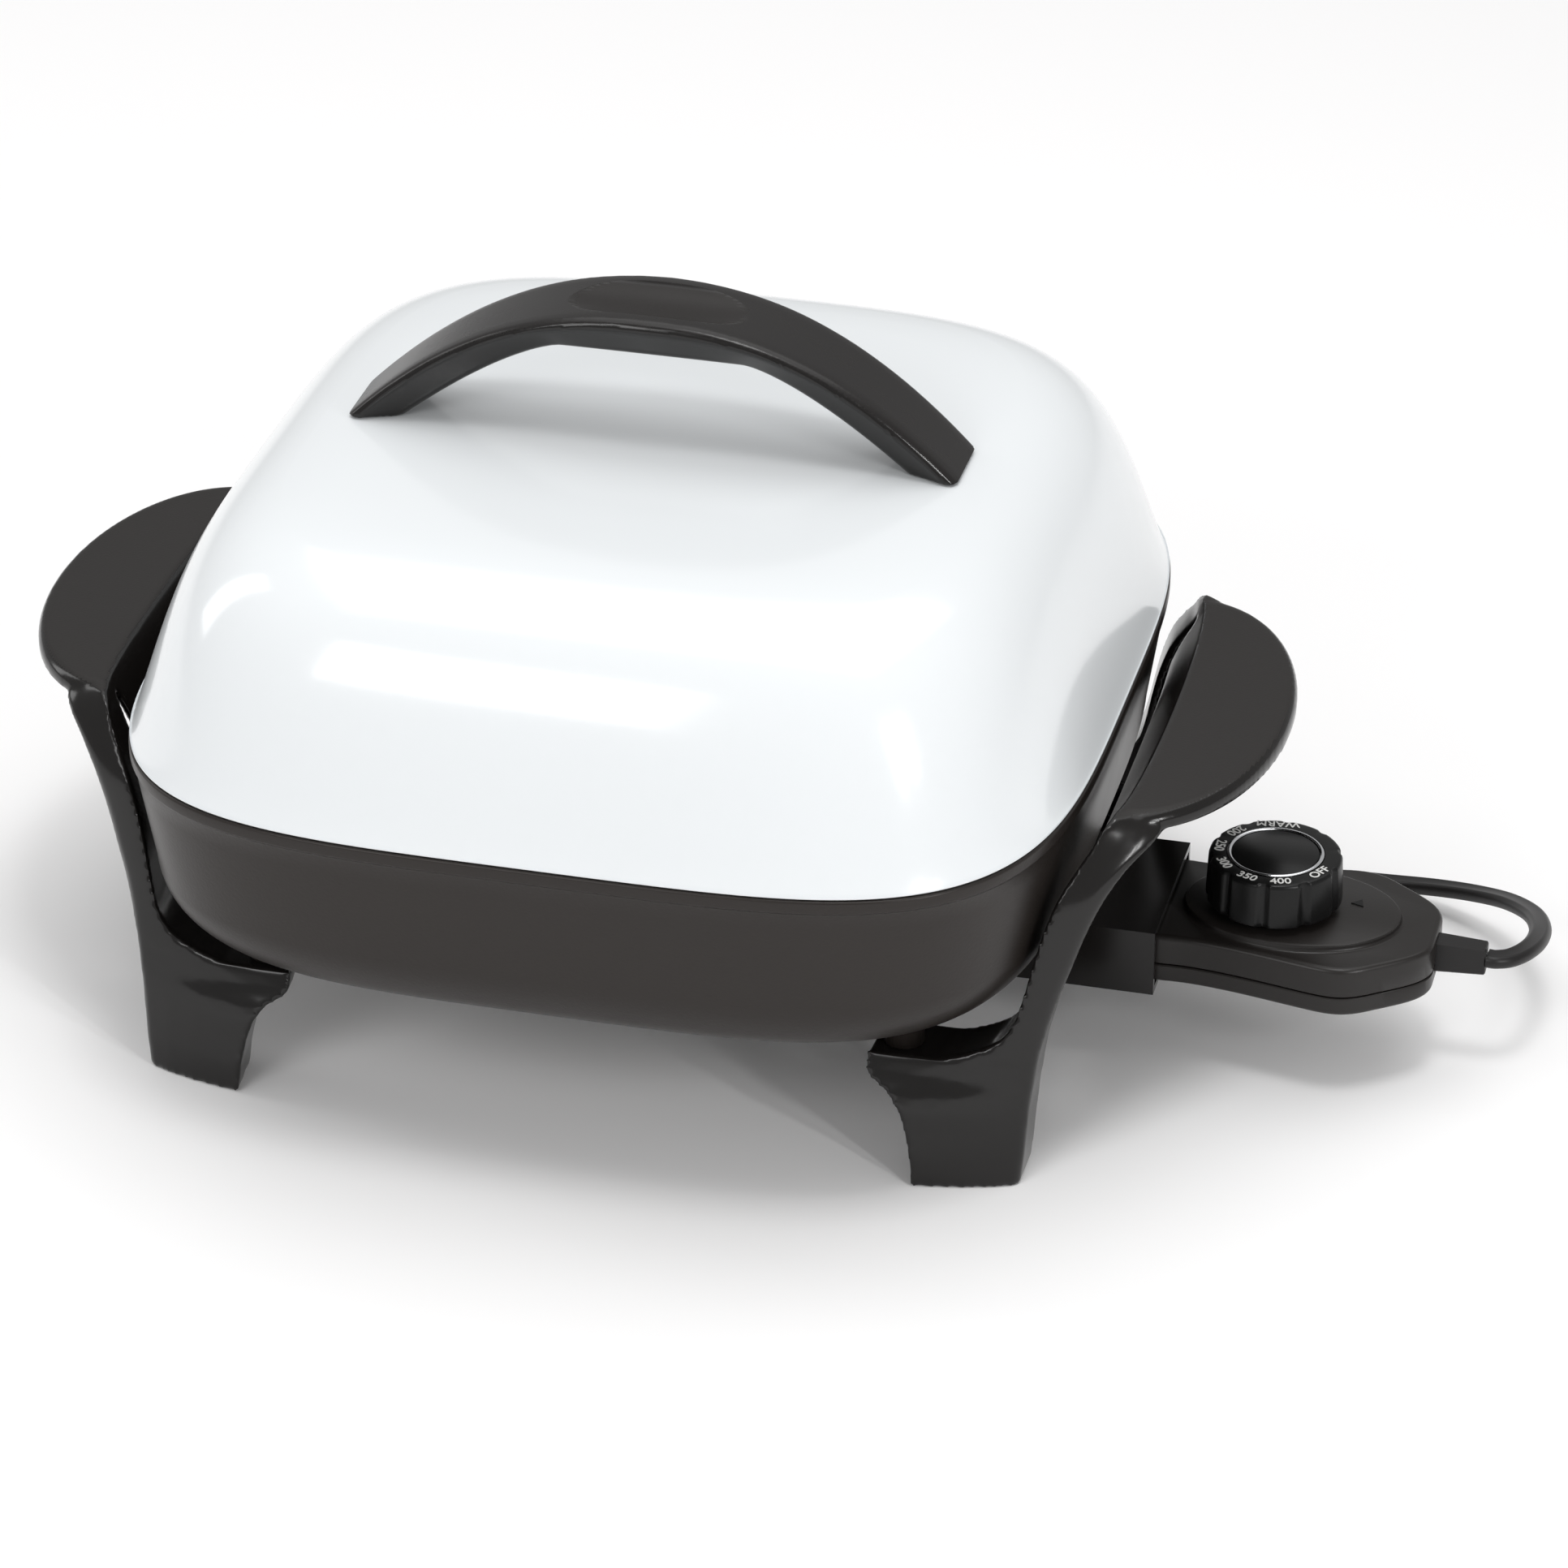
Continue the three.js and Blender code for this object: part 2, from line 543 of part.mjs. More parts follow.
// A leg's section at one level: the front face bows out a little and its outer edge is rounded.
function legRing({ z, inner, outer }, inset, depth) {
  const rise = Math.max(0, (z - 86) / (GRIP_TOP_Z - 86));
  const back = depth * (1 - 0.35 * rise);
  const [ax, ay] = [LEG_X + inner[0] + inset, inner[1] - LEG_Y + inset];
  const [bx, by] = [LEG_X + outer[0] - inset, outer[1] - LEG_Y + inset];
  const bow = 0.03 * (bx - ax);
  return [
    v3(ax, ay, z),
    v3(mix(ax, bx, 0.35), mix(ay, by, 0.35) - bow, z),
    v3(mix(ax, bx, 0.7), mix(ay, by, 0.7) - bow, z),
    v3(bx - 1.6, by - 0.2, z),
    v3(bx, by + 1.6, z),
    v3(bx + 1.5 * rise, by + back, z),
    v3(ax + 2, ay + back, z),
  ];
}

// A leg of the right-hand moulding; end is -1 at the front and 1 at the rear.
function makeLeg(end) {
  const skin = (levels, inset, depth) => {
    const rings = levels.map((level) => legRing(level, inset, depth));
    if (end < 0) return loft(rings);
    return loft(rings.map((ring) => ring.map((p) => v3(p.x, -p.y, p.z)).reverse()));
  };
  // The hollows open towards the middle of the object.
  const hollow = (low, high) => {
    const levels = LEG_LEVELS.filter(({ z }) => z > low - GAP && z < high + GAP);
    return skin(levels, LEG_WALL, LEG_DEPTH + 8);
  };
  const [x, y] = [BOSS_X, end * BOSS_Y];
  const seat = SHELF_Z - SHELF_THICKNESS + 2;
  return skin(LEG_LEVELS, 0, LEG_DEPTH)
    .subtract(hollow(9, 34))
    .subtract(hollow(52, 98))
    .subtract(post(SCREW_RADIUS + SCREW_PLAY, x, y, seat - 1, SHELF_Z + 2, 12))
    .subtract(post(SCREW_HEAD_RADIUS + SCREW_PLAY, x, y, 20, seat, 12));
}

function addHandles() {
  const panSkin = squareLoft([
    [PAN_HALF - PAN_CORNER, PAN_BOTTOM_Z - 0.5],
    ...panProfile(-0.8, PAN_BOTTOM_Z - 0.8),
    [PAN_HALF + 0.8, PAN_RIM_Z - RIM_BAND],
    [PAN_HALF + 0.8, PAN_RIM_Z + 4],
  ]);
  const moulding = makeGrip().add(makeApron()).add(makeLeg(-1)).add(makeLeg(1)).subtract(panSkin);
  add("handle_leg_right", moulding, finish.phenolic);
  add("handle_leg_left", moulding, finish.phenolic, true);
  [["left", -1], ["right", 1]].forEach(([sideName, side]) => {
    [["front", -1], ["rear", 1]].forEach(([endName, end]) => {
      const headZ = SHELF_Z - SHELF_THICKNESS + 2 - GAP - SCREW_HEAD_HEIGHT;
      const fixing = screw(side * BOSS_X, end * BOSS_Y, headZ, PAN_BOTTOM_Z);
      add(`handle_screw_${endName}_${sideName}`, fixing, finish.steel);
    });
  });
}
addHandles();

// ---- Terminals and guard ------------------------------------------------------------------------

function addTerminals() {
  const sealEnd = GUARD_START_X + 8 + GAP;
  [["front", -1], ["rear", 1]].forEach(([name, side]) => {
    const y = side * PIN_Y;
    const seal = bar(ELEMENT_RADIUS + 0.8, sealEnd, sealEnd + 6, y, PLUG_Z);
    add(`element_seal_${name}`, seal.subtract(bar(PIN_RADIUS + GAP, sealEnd + 1, sealEnd + 9, y,
      PLUG_Z)), finish.ceramic);
    add(`terminal_pin_${name}`, bar(PIN_RADIUS, sealEnd + 1 + GAP, NOSE_X + 18, y, PLUG_Z), finish.steel);
  });
}
addTerminals();

function makeGuard() {
  const size = [GUARD_HALF, GUARD_BOTTOM_Z, GUARD_TOP_Z];
  const [half, low, high] = size;
  const outer = block([GUARD_START_X, -half, low], [GUARD_END_X, half, high]);
  const wall = GUARD_WALL;
  const hollow = block(
    [GUARD_START_X + 2 * wall, -half + wall, low + wall],
    [GUARD_END_X + 1, half - wall, high - wall],
  );
  let guard = outer.subtract(hollow);
  [-1, 1].forEach((side) => {
    guard = guard.subtract(bar(ELEMENT_RADIUS + 2.2, GUARD_START_X - 1, GUARD_START_X + 6, side * PIN_Y,
      PLUG_Z + 0.5));
    guard = guard.subtract(post(SCREW_RADIUS + SCREW_PLAY, GUARD_SCREW_X, side * (half - 7), high - 4,
      high + 1, 10));
  });
  return guard.subtract(bar(PROBE_RADIUS + 0.8, GUARD_START_X - 1, GUARD_START_X + 6, 0, PLUG_Z));
}

function addGuard() {
  add("probe_guard", makeGuard(), finish.phenolic);
  [["front", -1], ["rear", 1]].forEach(([name, side]) => {
    const headZ = GUARD_TOP_Z - GUARD_WALL - GAP - SCREW_HEAD_HEIGHT;
    const fixing = screw(GUARD_SCREW_X, side * (GUARD_HALF - 7), headZ, PAN_BOTTOM_Z + 1);
    add(`guard_screw_${name}`, fixing, finish.steel);
  });
}
addGuard();

// ---- Heat control -------------------------------------------------------------------------------

// Plan outline of the heat control, set in by a wall thickness.
function controlShape(inset) {
  const [nose, waist, wide] = [CONTROL_NOSE_HALF, CONTROL_WAIST_HALF,
    CONTROL_HALF].map((half) => half - inset);
  const [start, end] = [NOSE_X + inset, CONTROL_END_X - inset];
  const flank = [
    [[WAIST_X + 14, waist], [CORNER_X - 18, wide - 2.1], [CORNER_X - 7, wide - 0.4]],
    [[CORNER_X - 1, wide + 0.5], [CORNER_X + 3, wide + 0.2], [CORNER_X + 9, wide - 4.3]],
    [[CORNER_X + 18, wide - 11], [end, 2 * CONTROL_END_HALF], [end, CONTROL_END_HALF]],
  ];
  const shape = new THREE.Shape();
  shape.moveTo(start, -nose);
  shape.lineTo(WAIST_X, -nose);
  flank.forEach(([a, b, c]) => shape.bezierCurveTo(a[0], -a[1], b[0], -b[1], c[0], -c[1]));
  shape.lineTo(end, CONTROL_END_HALF);
  const stops = [[WAIST_X, nose], flank[0][2], flank[1][2]];
  [2, 1, 0].forEach((i) => {
    const [a, b] = flank[i];
    shape.bezierCurveTo(b[0], b[1], a[0], a[1], stops[i][0], stops[i][1]);
  });
  shape.lineTo(start, nose);
  return shape;
}

// The outline drawn up from z0 to z1, with its upper edge rounded by the bevel.
function controlBlock(inset, z0, z1, bevel) {
  const depth = z1 - z0 - bevel;
  const options = { depth, curveSegments: 4, bevelEnabled: bevel > 0, bevelSize: bevel,
    bevelThickness: bevel };
  const shape = controlShape(inset + bevel);
  const drawn = new THREE.ExtrudeGeometry(shape, { ...options, bevelSegments: 2 });
  return solid(placed(drawn, [0, 0, z0]));
}

// Openings in the nose for the pins and the probe, and the slot for the strain relief.
function controlCuts(manifold) {
  let cut = manifold;
  [-1, 1].forEach((side) => {
    cut = cut.subtract(bar(PIN_RADIUS + 0.8, NOSE_X - 1, NOSE_X + 4, side * PIN_Y, PLUG_Z));
  });
  cut = cut.subtract(bar(PROBE_RADIUS + GAP, NOSE_X - 1, NOSE_X + 4, 0, PLUG_Z));
  const [halfY, halfZ] = [RELIEF_HALF_WIDTH + GAP, RELIEF_HALF_HEIGHT + GAP];
  return cut.subtract(block([CONTROL_END_X - 6, -halfY, PLUG_Z - halfZ],
    [CONTROL_END_X + 4, halfY, PLUG_Z + halfZ]));
}

function makeControlTop() {
  const crown = controlBlock(0, CONTROL_SPLIT_Z, CONTROL_TOP_Z, CONTROL_BEVEL);
  const above = block([100, -60, CONTROL_SPLIT_Z + GAP / 2], [300, 60, 100]);
  const oval = new THREE.Shape().absellipse(DIAL_X + 6, 0, 33, 23, 0, 2 * Math.PI);
  const rise = { depth: PLATFORM_RISE + 1, curveSegments: 12, bevelEnabled: false };
  const platform = new THREE.ExtrudeGeometry(oval, rise);
  let top = crown.intersect(above).add(solid(placed(platform, [0, 0, CONTROL_TOP_Z - 1])));
  const inside = controlBlock(CONTROL_WALL, CONTROL_SPLIT_Z - 3, CONTROL_TOP_Z - CONTROL_WALL, 0);
  top = top.subtract(inside);
  top = top.subtract(post(SPINDLE_RADIUS + 0.5, DIAL_X, 0, CONTROL_SPLIT_Z, DIAL_TOP_Z, 16));
  const posts = CONTROL_SCREWS.map(([x, y]) => {
    const pillar = post(4, x, y, CONTROL_SPLIT_Z + GAP / 2, CONTROL_TOP_Z - 1, 12);
    return pillar.subtract(post(SCREW_RADIUS + SCREW_PLAY, x, y, CONTROL_SPLIT_Z - 1, CONTROL_TOP_Z - 3, 10));
  });
  return controlCuts(posts.reduce((sum, pillar) => sum.add(pillar), top));
}

function makeControlBottom() {
  // The lower shell is the upper one's outline turned over, so its lower edge is the rounded one.
  const height = CONTROL_SPLIT_Z - CONTROL_BOTTOM_Z;
  const drawn = new THREE.ExtrudeGeometry(controlShape(CONTROL_BEVEL), {
    depth: height, curveSegments: 4, bevelEnabled: true,
    bevelSize: CONTROL_BEVEL, bevelThickness: CONTROL_BEVEL, bevelSegments: 2,
  });
  const below = block([100, -60, CONTROL_BOTTOM_Z - 5], [300, 60, CONTROL_SPLIT_Z - GAP / 2]);
  let bottom = solid(placed(drawn, [0, 0, CONTROL_BOTTOM_Z + CONTROL_BEVEL])).intersect(below);
  bottom = bottom.subtract(controlBlock(CONTROL_WALL, CONTROL_BOTTOM_Z + CONTROL_WALL,
    CONTROL_SPLIT_Z + 3, 0));
  CONTROL_SCREWS.forEach(([x, y]) => {
    bottom = bottom.add(post(5, x, y, CONTROL_BOTTOM_Z + 1, CONTROL_SPLIT_Z - GAP / 2, 12));
    bottom = bottom.subtract(post(SCREW_RADIUS + SCREW_PLAY, x, y, CONTROL_BOTTOM_Z - 1,
      CONTROL_SPLIT_Z + 1, 10));
    const well = post(SCREW_HEAD_RADIUS + SCREW_PLAY, x, y, CONTROL_BOTTOM_Z - 1, CONTROL_BOTTOM_Z + 3.4, 12);
    bottom = bottom.subtract(well);
  });
  return controlCuts(bottom);
}

function addControl() {
  add("control_housing_top", makeControlTop(), finish.control);
  add("control_housing_bottom", makeControlBottom(), finish.control);
  ["front", "rear", "end"].forEach((name, i) => {
    const [x, y] = CONTROL_SCREWS[i];
    add(`housing_screw_${name}`, screw(x, y, CONTROL_BOTTOM_Z + 0.6, CONTROL_TOP_Z - 4), finish.steel);
  });
}
addControl();

// The expanding tube of the probe, with the rod inside that works the contact blades.
function addProbe() {
  const foot = NOSE_X + 14;
  let probe = bar(PROBE_RADIUS, PROBE_TIP_X + 1, foot, 0, PLUG_Z, 16);
  probe = probe.add(bar(PROBE_RADIUS * 0.6, PROBE_TIP_X, PROBE_TIP_X + 2, 0, PLUG_Z, 16));
  probe = probe.add(bar(PROBE_COLLAR_RADIUS, foot - 5, foot, 0, PLUG_Z, 16));
  probe = probe.subtract(bar(1.5, PROBE_TIP_X + 6, foot + 1, 0, PLUG_Z, 10));
  add("probe_tube", probe, finish.steel);
  add("probe_rod", bar(1.1, PROBE_TIP_X + 6 + GAP, foot + 8, 0, PLUG_Z, 8), finish.brass);
}
addProbe();

function addContacts() {
  const blockStart = NOSE_X + CONTROL_WALL + 1.2;
  const blockEnd = blockStart + 8;
  let carrier = block([blockStart, -18, 31.2], [blockEnd, 18, 41.8]);
  carrier = carrier.subtract(bar(PROBE_RADIUS + GAP, blockStart - 1, blockEnd + 1, 0, PLUG_Z, 16));
  carrier = carrier.subtract(bar(PROBE_COLLAR_RADIUS + GAP, NOSE_X + 8.7, blockEnd + 1, 0, PLUG_Z, 16));
  [["front", -1], ["rear", 1]].forEach(([name, side]) => {
    const y = side * PIN_Y;
    carrier = carrier.subtract(bar(3.6 + GAP, blockStart - 1, blockEnd + 1, y, PLUG_Z, 16));
    const sleeve = bar(3.6, blockStart, NOSE_X + 22, y, PLUG_Z, 16);
    const socket = sleeve.subtract(bar(PIN_RADIUS + GAP, blockStart - 1, NOSE_X + 20, y, PLUG_Z, 12));
    const tail = block([NOSE_X + 21, y - 2.5, PLUG_Z - 0.5], [NOSE_X + 27, y + 2.5, PLUG_Z + 0.5]);
    add(`socket_contact_${name}`, socket.add(tail), finish.brass);
  });
  add("terminal_block", carrier, finish.ceramic);

  // Two spring blades on a stack; the spindle presses one and the probe's rod the other.
  const bladeEnd = DIAL_X + 5;
  const lower = block([NOSE_X + 44, -3, 35.4], [bladeEnd, 3, 36]);
  const upper = block([NOSE_X + 44, -3, 38.4], [bladeEnd, 3, 39]);
  const button = (z) => post(1.6, bladeEnd - 16, 0, z, z + 1, 10);
  add("contact_blade_lower", lower.add(button(35.8)), finish.brass);
  add("contact_blade_upper", upper.add(button(37.5)), finish.brass);
  const stack = block([NOSE_X + 40, -5, 31.2], [NOSE_X + 43.7, 5, 41.8]);
  const foot = block([NOSE_X + 36, -5, 31.2], [NOSE_X + 42, 5, 32.6]);
  add("blade_stack", stack.add(foot), finish.ceramic);
}
addContacts();

function addDial() {
  const shaft = post(SPINDLE_RADIUS, DIAL_X, 0, 39.4, DIAL_TOP_Z - 6, 12);
  const collar = post(SPINDLE_RADIUS + 1.6, DIAL_X, 0, 40, 41.9, 12);
  add("dial_spindle", shaft.add(collar), finish.steel);

  const skirt = new THREE.LatheGeometry(
    [
      [0, 0], [DIAL_RADIUS, 0], [DIAL_RADIUS + 0.6, 1.4], [DIAL_RADIUS, DIAL_TOP_Z - DIAL_BOTTOM_Z - 1.4],
      [DIAL_RADIUS - 1.2, DIAL_TOP_Z - DIAL_BOTTOM_Z], [0, DIAL_TOP_Z - DIAL_BOTTOM_Z],
    ].map(([r, h]) => new THREE.Vector2(r, h)),
    30,
  );
  let knob = solid(placed(skirt, [DIAL_X, 0, DIAL_BOTTOM_Z], [Math.PI / 2, 0, 0]));
  range(DIAL_FLUTES).forEach((i) => {
    const angle = (2 * Math.PI * (i + 0.5)) / DIAL_FLUTES;
    const reach = DIAL_RADIUS + 1.6;
    const x = DIAL_X + reach * Math.cos(angle);
    knob = knob.subtract(post(2.2, x, reach * Math.sin(angle), DIAL_BOTTOM_Z - 1, DIAL_TOP_Z + 1, 8));
  });
  knob = knob.subtract(post(DIAL_RADIUS - 3, DIAL_X, 0, DIAL_BOTTOM_Z - 1, DIAL_BOTTOM_Z + 8, 24));
  knob = knob.subtract(post(SPINDLE_RADIUS + GAP, DIAL_X, 0, DIAL_BOTTOM_Z, DIAL_TOP_Z - 5.5, 12));
  knob = knob.subtract(post(RING_OUTER + GAP, DIAL_X, 0, DIAL_TOP_Z - RING_SINK, DIAL_TOP_Z + 1, 24));
  add("dial_knob", knob, finish.dial);

  const ringLow = DIAL_TOP_Z - RING_SINK + GAP;
  const ring = post(RING_OUTER, DIAL_X, 0, ringLow, DIAL_TOP_Z + 0.5, 24);
  add("dial_ring", ring.subtract(post(RING_INNER, DIAL_X, 0, ringLow - 1, DIAL_TOP_Z + 2, 24)), finish.steel);
  add("dial_cap", post(RING_INNER - GAP, DIAL_X, 0, ringLow, DIAL_TOP_Z + 0.2, 24), finish.dial);
}

addDial();

// ---- Cord ---------------------------------------------------------------------------------------

// A rectangle with cut corners across X.
function slabRing(x, y, z, halfY, halfZ) {
  const corners = [[-1, -0.6], [-1, 0.6], [-0.7, 1], [0.7, 1], [1, 0.6], [1, -0.6], [0.7, -1], [-0.7, -1]];
  return corners.map(([across, up]) => v3(x, y + across * halfY, z + up * halfZ));
}

// The strain relief: a rectangular boot that tapers a little towards the lead.
function makeRelief() {
  const [halfY, halfZ] = [RELIEF_HALF_WIDTH, RELIEF_HALF_HEIGHT];
  return loft([
    slabRing(RELIEF_END_X, 0, PLUG_Z, halfY - 0.5, halfZ - 0.7),
    slabRing(CONTROL_END_X, 0, PLUG_Z, halfY, halfZ),
    slabRing(RELIEF_START_X, 0, PLUG_Z, halfY, halfZ),
  ]);
}

// The coil of spare lead behind the pan: two turns on each other, held by a tie.
const COIL_HIGH_Z = COIL_LOW_Z + COIL_LAYERS * (CORD_WIDTH + 0.2);
const COIL_MID = COIL_TURN / 2;
const COIL_HALF = CORD_WIDTH / 2 + 0.4;

function makeCoil() {
  const inner = COIL_MID - COIL_HALF;
  const outer = COIL_MID + COIL_HALF;
  const height = COIL_HIGH_Z - COIL_LOW_Z;
  const profile = [[inner, 0], [outer, 0], [outer, height], [inner, height], [inner, 0]];
  const ring = new THREE.LatheGeometry(profile.map(([r, h]) => new THREE.Vector2(r, h)), 32);
  return solid(placed(ring, [COIL_X, COIL_Y, COIL_LOW_Z], [Math.PI / 2, 0, 0]));
}

function makeTie() {
  const y = COIL_Y - COIL_MID;
  const room = COIL_HALF + TIE_ROOM;
  const low = COIL_LOW_Z - 1.2;
  const band = block([COIL_X - 4, y - room - 1, low], [COIL_X + 4, y + room + 1, COIL_HIGH_Z + 1.3]);
  return band.subtract(block([COIL_X - 6, y - room, COIL_LOW_Z - GAP],
    [COIL_X + 6, y + room, COIL_HIGH_Z + GAP]));
}

// A two-blade plug on its side, its neck against the coil.
const PLUG_NECK_X = COIL_X - 26;
const PLUG_BODY_X = PLUG_NECK_X - 10;
const PLUG_FACE_X = PLUG_BODY_X - 22;

function addPlug() {
  const y = COIL_Y + COIL_MID;
  const slab = (x, halfY, halfZ) => slabRing(x, y, PLUG_AXIS_Z, halfY, halfZ);
  let body = loft([
    slab(PLUG_NECK_X, 4.6, 4.6),
    slab(PLUG_BODY_X, 7, 6.4),
    slab(PLUG_BODY_X - 7, 12.5, 9.2),
    slab(PLUG_FACE_X + 1, 12.5, 9.2),
    slab(PLUG_FACE_X, 11.5, 8.4),
  ]);
  [["front", -1], ["rear", 1]].forEach(([name, side]) => {
    const bladeY = y + side * BLADE_Y;
    const half = [0.75, 3.15];
    const slot = half.map((value) => value + GAP);
    body = body.subtract(
      block([PLUG_FACE_X - 1, bladeY - slot[0], PLUG_AXIS_Z - slot[1]],
        [PLUG_FACE_X + 9, bladeY + slot[0], PLUG_AXIS_Z + slot[1]]),
    );
    const blade = block(
      [PLUG_FACE_X - BLADE_LENGTH, bladeY - half[0], PLUG_AXIS_Z - half[1]],
      [PLUG_FACE_X + 9 - GAP, bladeY + half[0], PLUG_AXIS_Z + half[1]],
    );
    add(`plug_blade_${name}`, blade, finish.brass);
  });
  add("plug_body", body, finish.cord);
}

// Route of the lead from the strain relief, down to the table, under the pan and out behind it to the coil.
const CORD_REST_Z = CORD_WIDTH / 2 + GAP;
const CORD_ROUTE = [
  [RELIEF_END_X + GAP, 0, PLUG_Z],
  [259.4, 0, 37],
  [263.4, 2.8, 36.5],
  [267, 10, 35.2],
  [268.9, 21, 32.6],
  [268.2, 35, 28.8],
  [263.8, 51, 23.8],
  [255, 66, 18.2],
  [243.5, 77.5, 12.8],
  [229.5, 85.5, 8.4],
  [214, 90, 5.2],
  [197, 91.2, CORD_REST_Z],
  [180, 88, CORD_REST_Z],
  [163, 81, CORD_REST_Z],
  [146, 73, CORD_REST_Z],
  [128, 67, CORD_REST_Z],
  [108, 64, CORD_REST_Z],
  [89, 64, CORD_REST_Z],
  [70, 64, CORD_REST_Z],
  [50, 67, CORD_REST_Z],
  [30, 75, CORD_REST_Z],
  [15, 89, CORD_REST_Z],
  [6, 107, CORD_REST_Z],
  [2.6, 128, CORD_REST_Z],
  [2, 148, 4.2],
  [2, 166.7, 4.6],
];

add("strain_relief", makeRelief(), finish.cord);
const lead = new THREE.CatmullRomCurve3(CORD_ROUTE.map((p) => v3(...p)), false, "centripetal");
add("cord", solid(tube(lead, CORD_WIDTH, CORD_WIDTH, 8, 50)), finish.cord);
add("cord_coil", makeCoil(), finish.cord);
add("cord_tie", makeTie(), finish.steel);
addPlug();

export default skillet;
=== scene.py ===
"""The look of the electric skillet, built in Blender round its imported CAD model. Metres, row frame."""

import json
import math

import bmesh
import bpy
import numpy as np
from mathutils import Matrix, Vector


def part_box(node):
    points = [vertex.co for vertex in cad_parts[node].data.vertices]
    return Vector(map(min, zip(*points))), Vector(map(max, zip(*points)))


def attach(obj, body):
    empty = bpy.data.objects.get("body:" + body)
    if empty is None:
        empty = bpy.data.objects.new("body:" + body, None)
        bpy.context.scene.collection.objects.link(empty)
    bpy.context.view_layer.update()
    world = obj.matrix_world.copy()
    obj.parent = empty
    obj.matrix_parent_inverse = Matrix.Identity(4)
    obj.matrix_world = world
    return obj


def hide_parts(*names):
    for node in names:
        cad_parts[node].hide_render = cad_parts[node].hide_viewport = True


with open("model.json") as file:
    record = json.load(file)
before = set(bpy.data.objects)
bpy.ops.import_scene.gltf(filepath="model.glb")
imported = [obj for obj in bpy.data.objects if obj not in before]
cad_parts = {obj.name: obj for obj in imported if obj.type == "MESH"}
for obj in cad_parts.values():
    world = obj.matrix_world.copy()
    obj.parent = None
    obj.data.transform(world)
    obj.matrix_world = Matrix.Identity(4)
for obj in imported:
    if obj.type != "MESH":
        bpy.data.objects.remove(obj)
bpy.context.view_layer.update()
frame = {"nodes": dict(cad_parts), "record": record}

MM = 0.001
# Shapes are drawn in millimetres about the middle of the pan and then moved into the row frame.
PAN_X = sum(corner[0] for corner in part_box("pan")) / 2 / MM


def at(x, y, z):
    """A point given in millimetres from the middle of the pan, in the row frame."""
    return ((x + PAN_X) * MM, y * MM, z * MM)


# ---- Camera --------------------------------------------------------------------------------------

CAMERA_AZIMUTH = 14.27
CAMERA_ELEVATION = 29.78
CAMERA_DISTANCE = 1938.2
CAMERA_TARGET = (22.26, 62.3, 29.82)
CAMERA_LENS = 139.66


def make_camera():
    yaw, pitch = math.radians(CAMERA_AZIMUTH), math.radians(CAMERA_ELEVATION)
    back = Vector((math.sin(yaw) * math.cos(pitch), -math.cos(yaw) * math.cos(pitch), math.sin(pitch)))
    camera = bpy.data.objects.new("camera", bpy.data.cameras.new("camera"))
    camera.data.lens = CAMERA_LENS
    camera.data.sensor_width = 36
    camera.data.clip_end = 20
    camera.location = Vector(at(*CAMERA_TARGET)) + back * CAMERA_DISTANCE * MM
    camera.rotation_mode = "QUATERNION"
    camera.rotation_quaternion = (-back).to_track_quat("-Z", "Y")
    bpy.context.collection.objects.link(camera)
    bpy.context.scene.camera = camera


make_camera()


# ---- Materials -----------------------------------------------------------------------------------

COAT_ROUGHNESS = 0.08


def material(name, color, roughness, metallic=0.0, coat=0.0, bump=None, patches=None, specular=0.5):
    """A principled material. bump is (scale, strength, distance) of fine relief, and patches is
    (scale, low, high) of slow changes in roughness."""
    made = bpy.data.materials.new(name)
    made.use_nodes = True
    nodes, links = made.node_tree.nodes, made.node_tree.links
    shader = nodes["Principled BSDF"]
    shader.inputs["Base Color"].default_value = (*color, 1)
    shader.inputs["Roughness"].default_value = roughness
    shader.inputs["Metallic"].default_value = metallic
    shader.inputs["Specular IOR Level"].default_value = specular
    shader.inputs["Coat Weight"].default_value = coat
    shader.inputs["Coat Roughness"].default_value = COAT_ROUGHNESS
    place = nodes.new("ShaderNodeTexCoord")
    if bump:
        scale, strength, distance = bump
        noise = nodes.new("ShaderNodeTexNoise")
        noise.inputs["Scale"].default_value = scale
        noise.inputs["Detail"].default_value = 3
        links.new(place.outputs["Object"], noise.inputs["Vector"])
        relief = nodes.new("ShaderNodeBump")
        relief.inputs["Strength"].default_value = strength
        relief.inputs["Distance"].default_value = distance
        links.new(noise.outputs["Fac"], relief.inputs["Height"])
        links.new(relief.outputs["Normal"], shader.inputs["Normal"])
    if patches:
        scale, low, high = patches
        slow = nodes.new("ShaderNodeTexNoise")
        slow.inputs["Scale"].default_value = scale
        slow.inputs["Detail"].default_value = 4
        links.new(place.outputs["Object"], slow.inputs["Vector"])
        spread = nodes.new("ShaderNodeMapRange")
        spread.inputs["To Min"].default_value = low
        spread.inputs["To Max"].default_value = high
        links.new(slow.outputs["Fac"], spread.inputs["Value"])
        links.new(spread.outputs["Result"], shader.inputs["Roughness"])
    return made


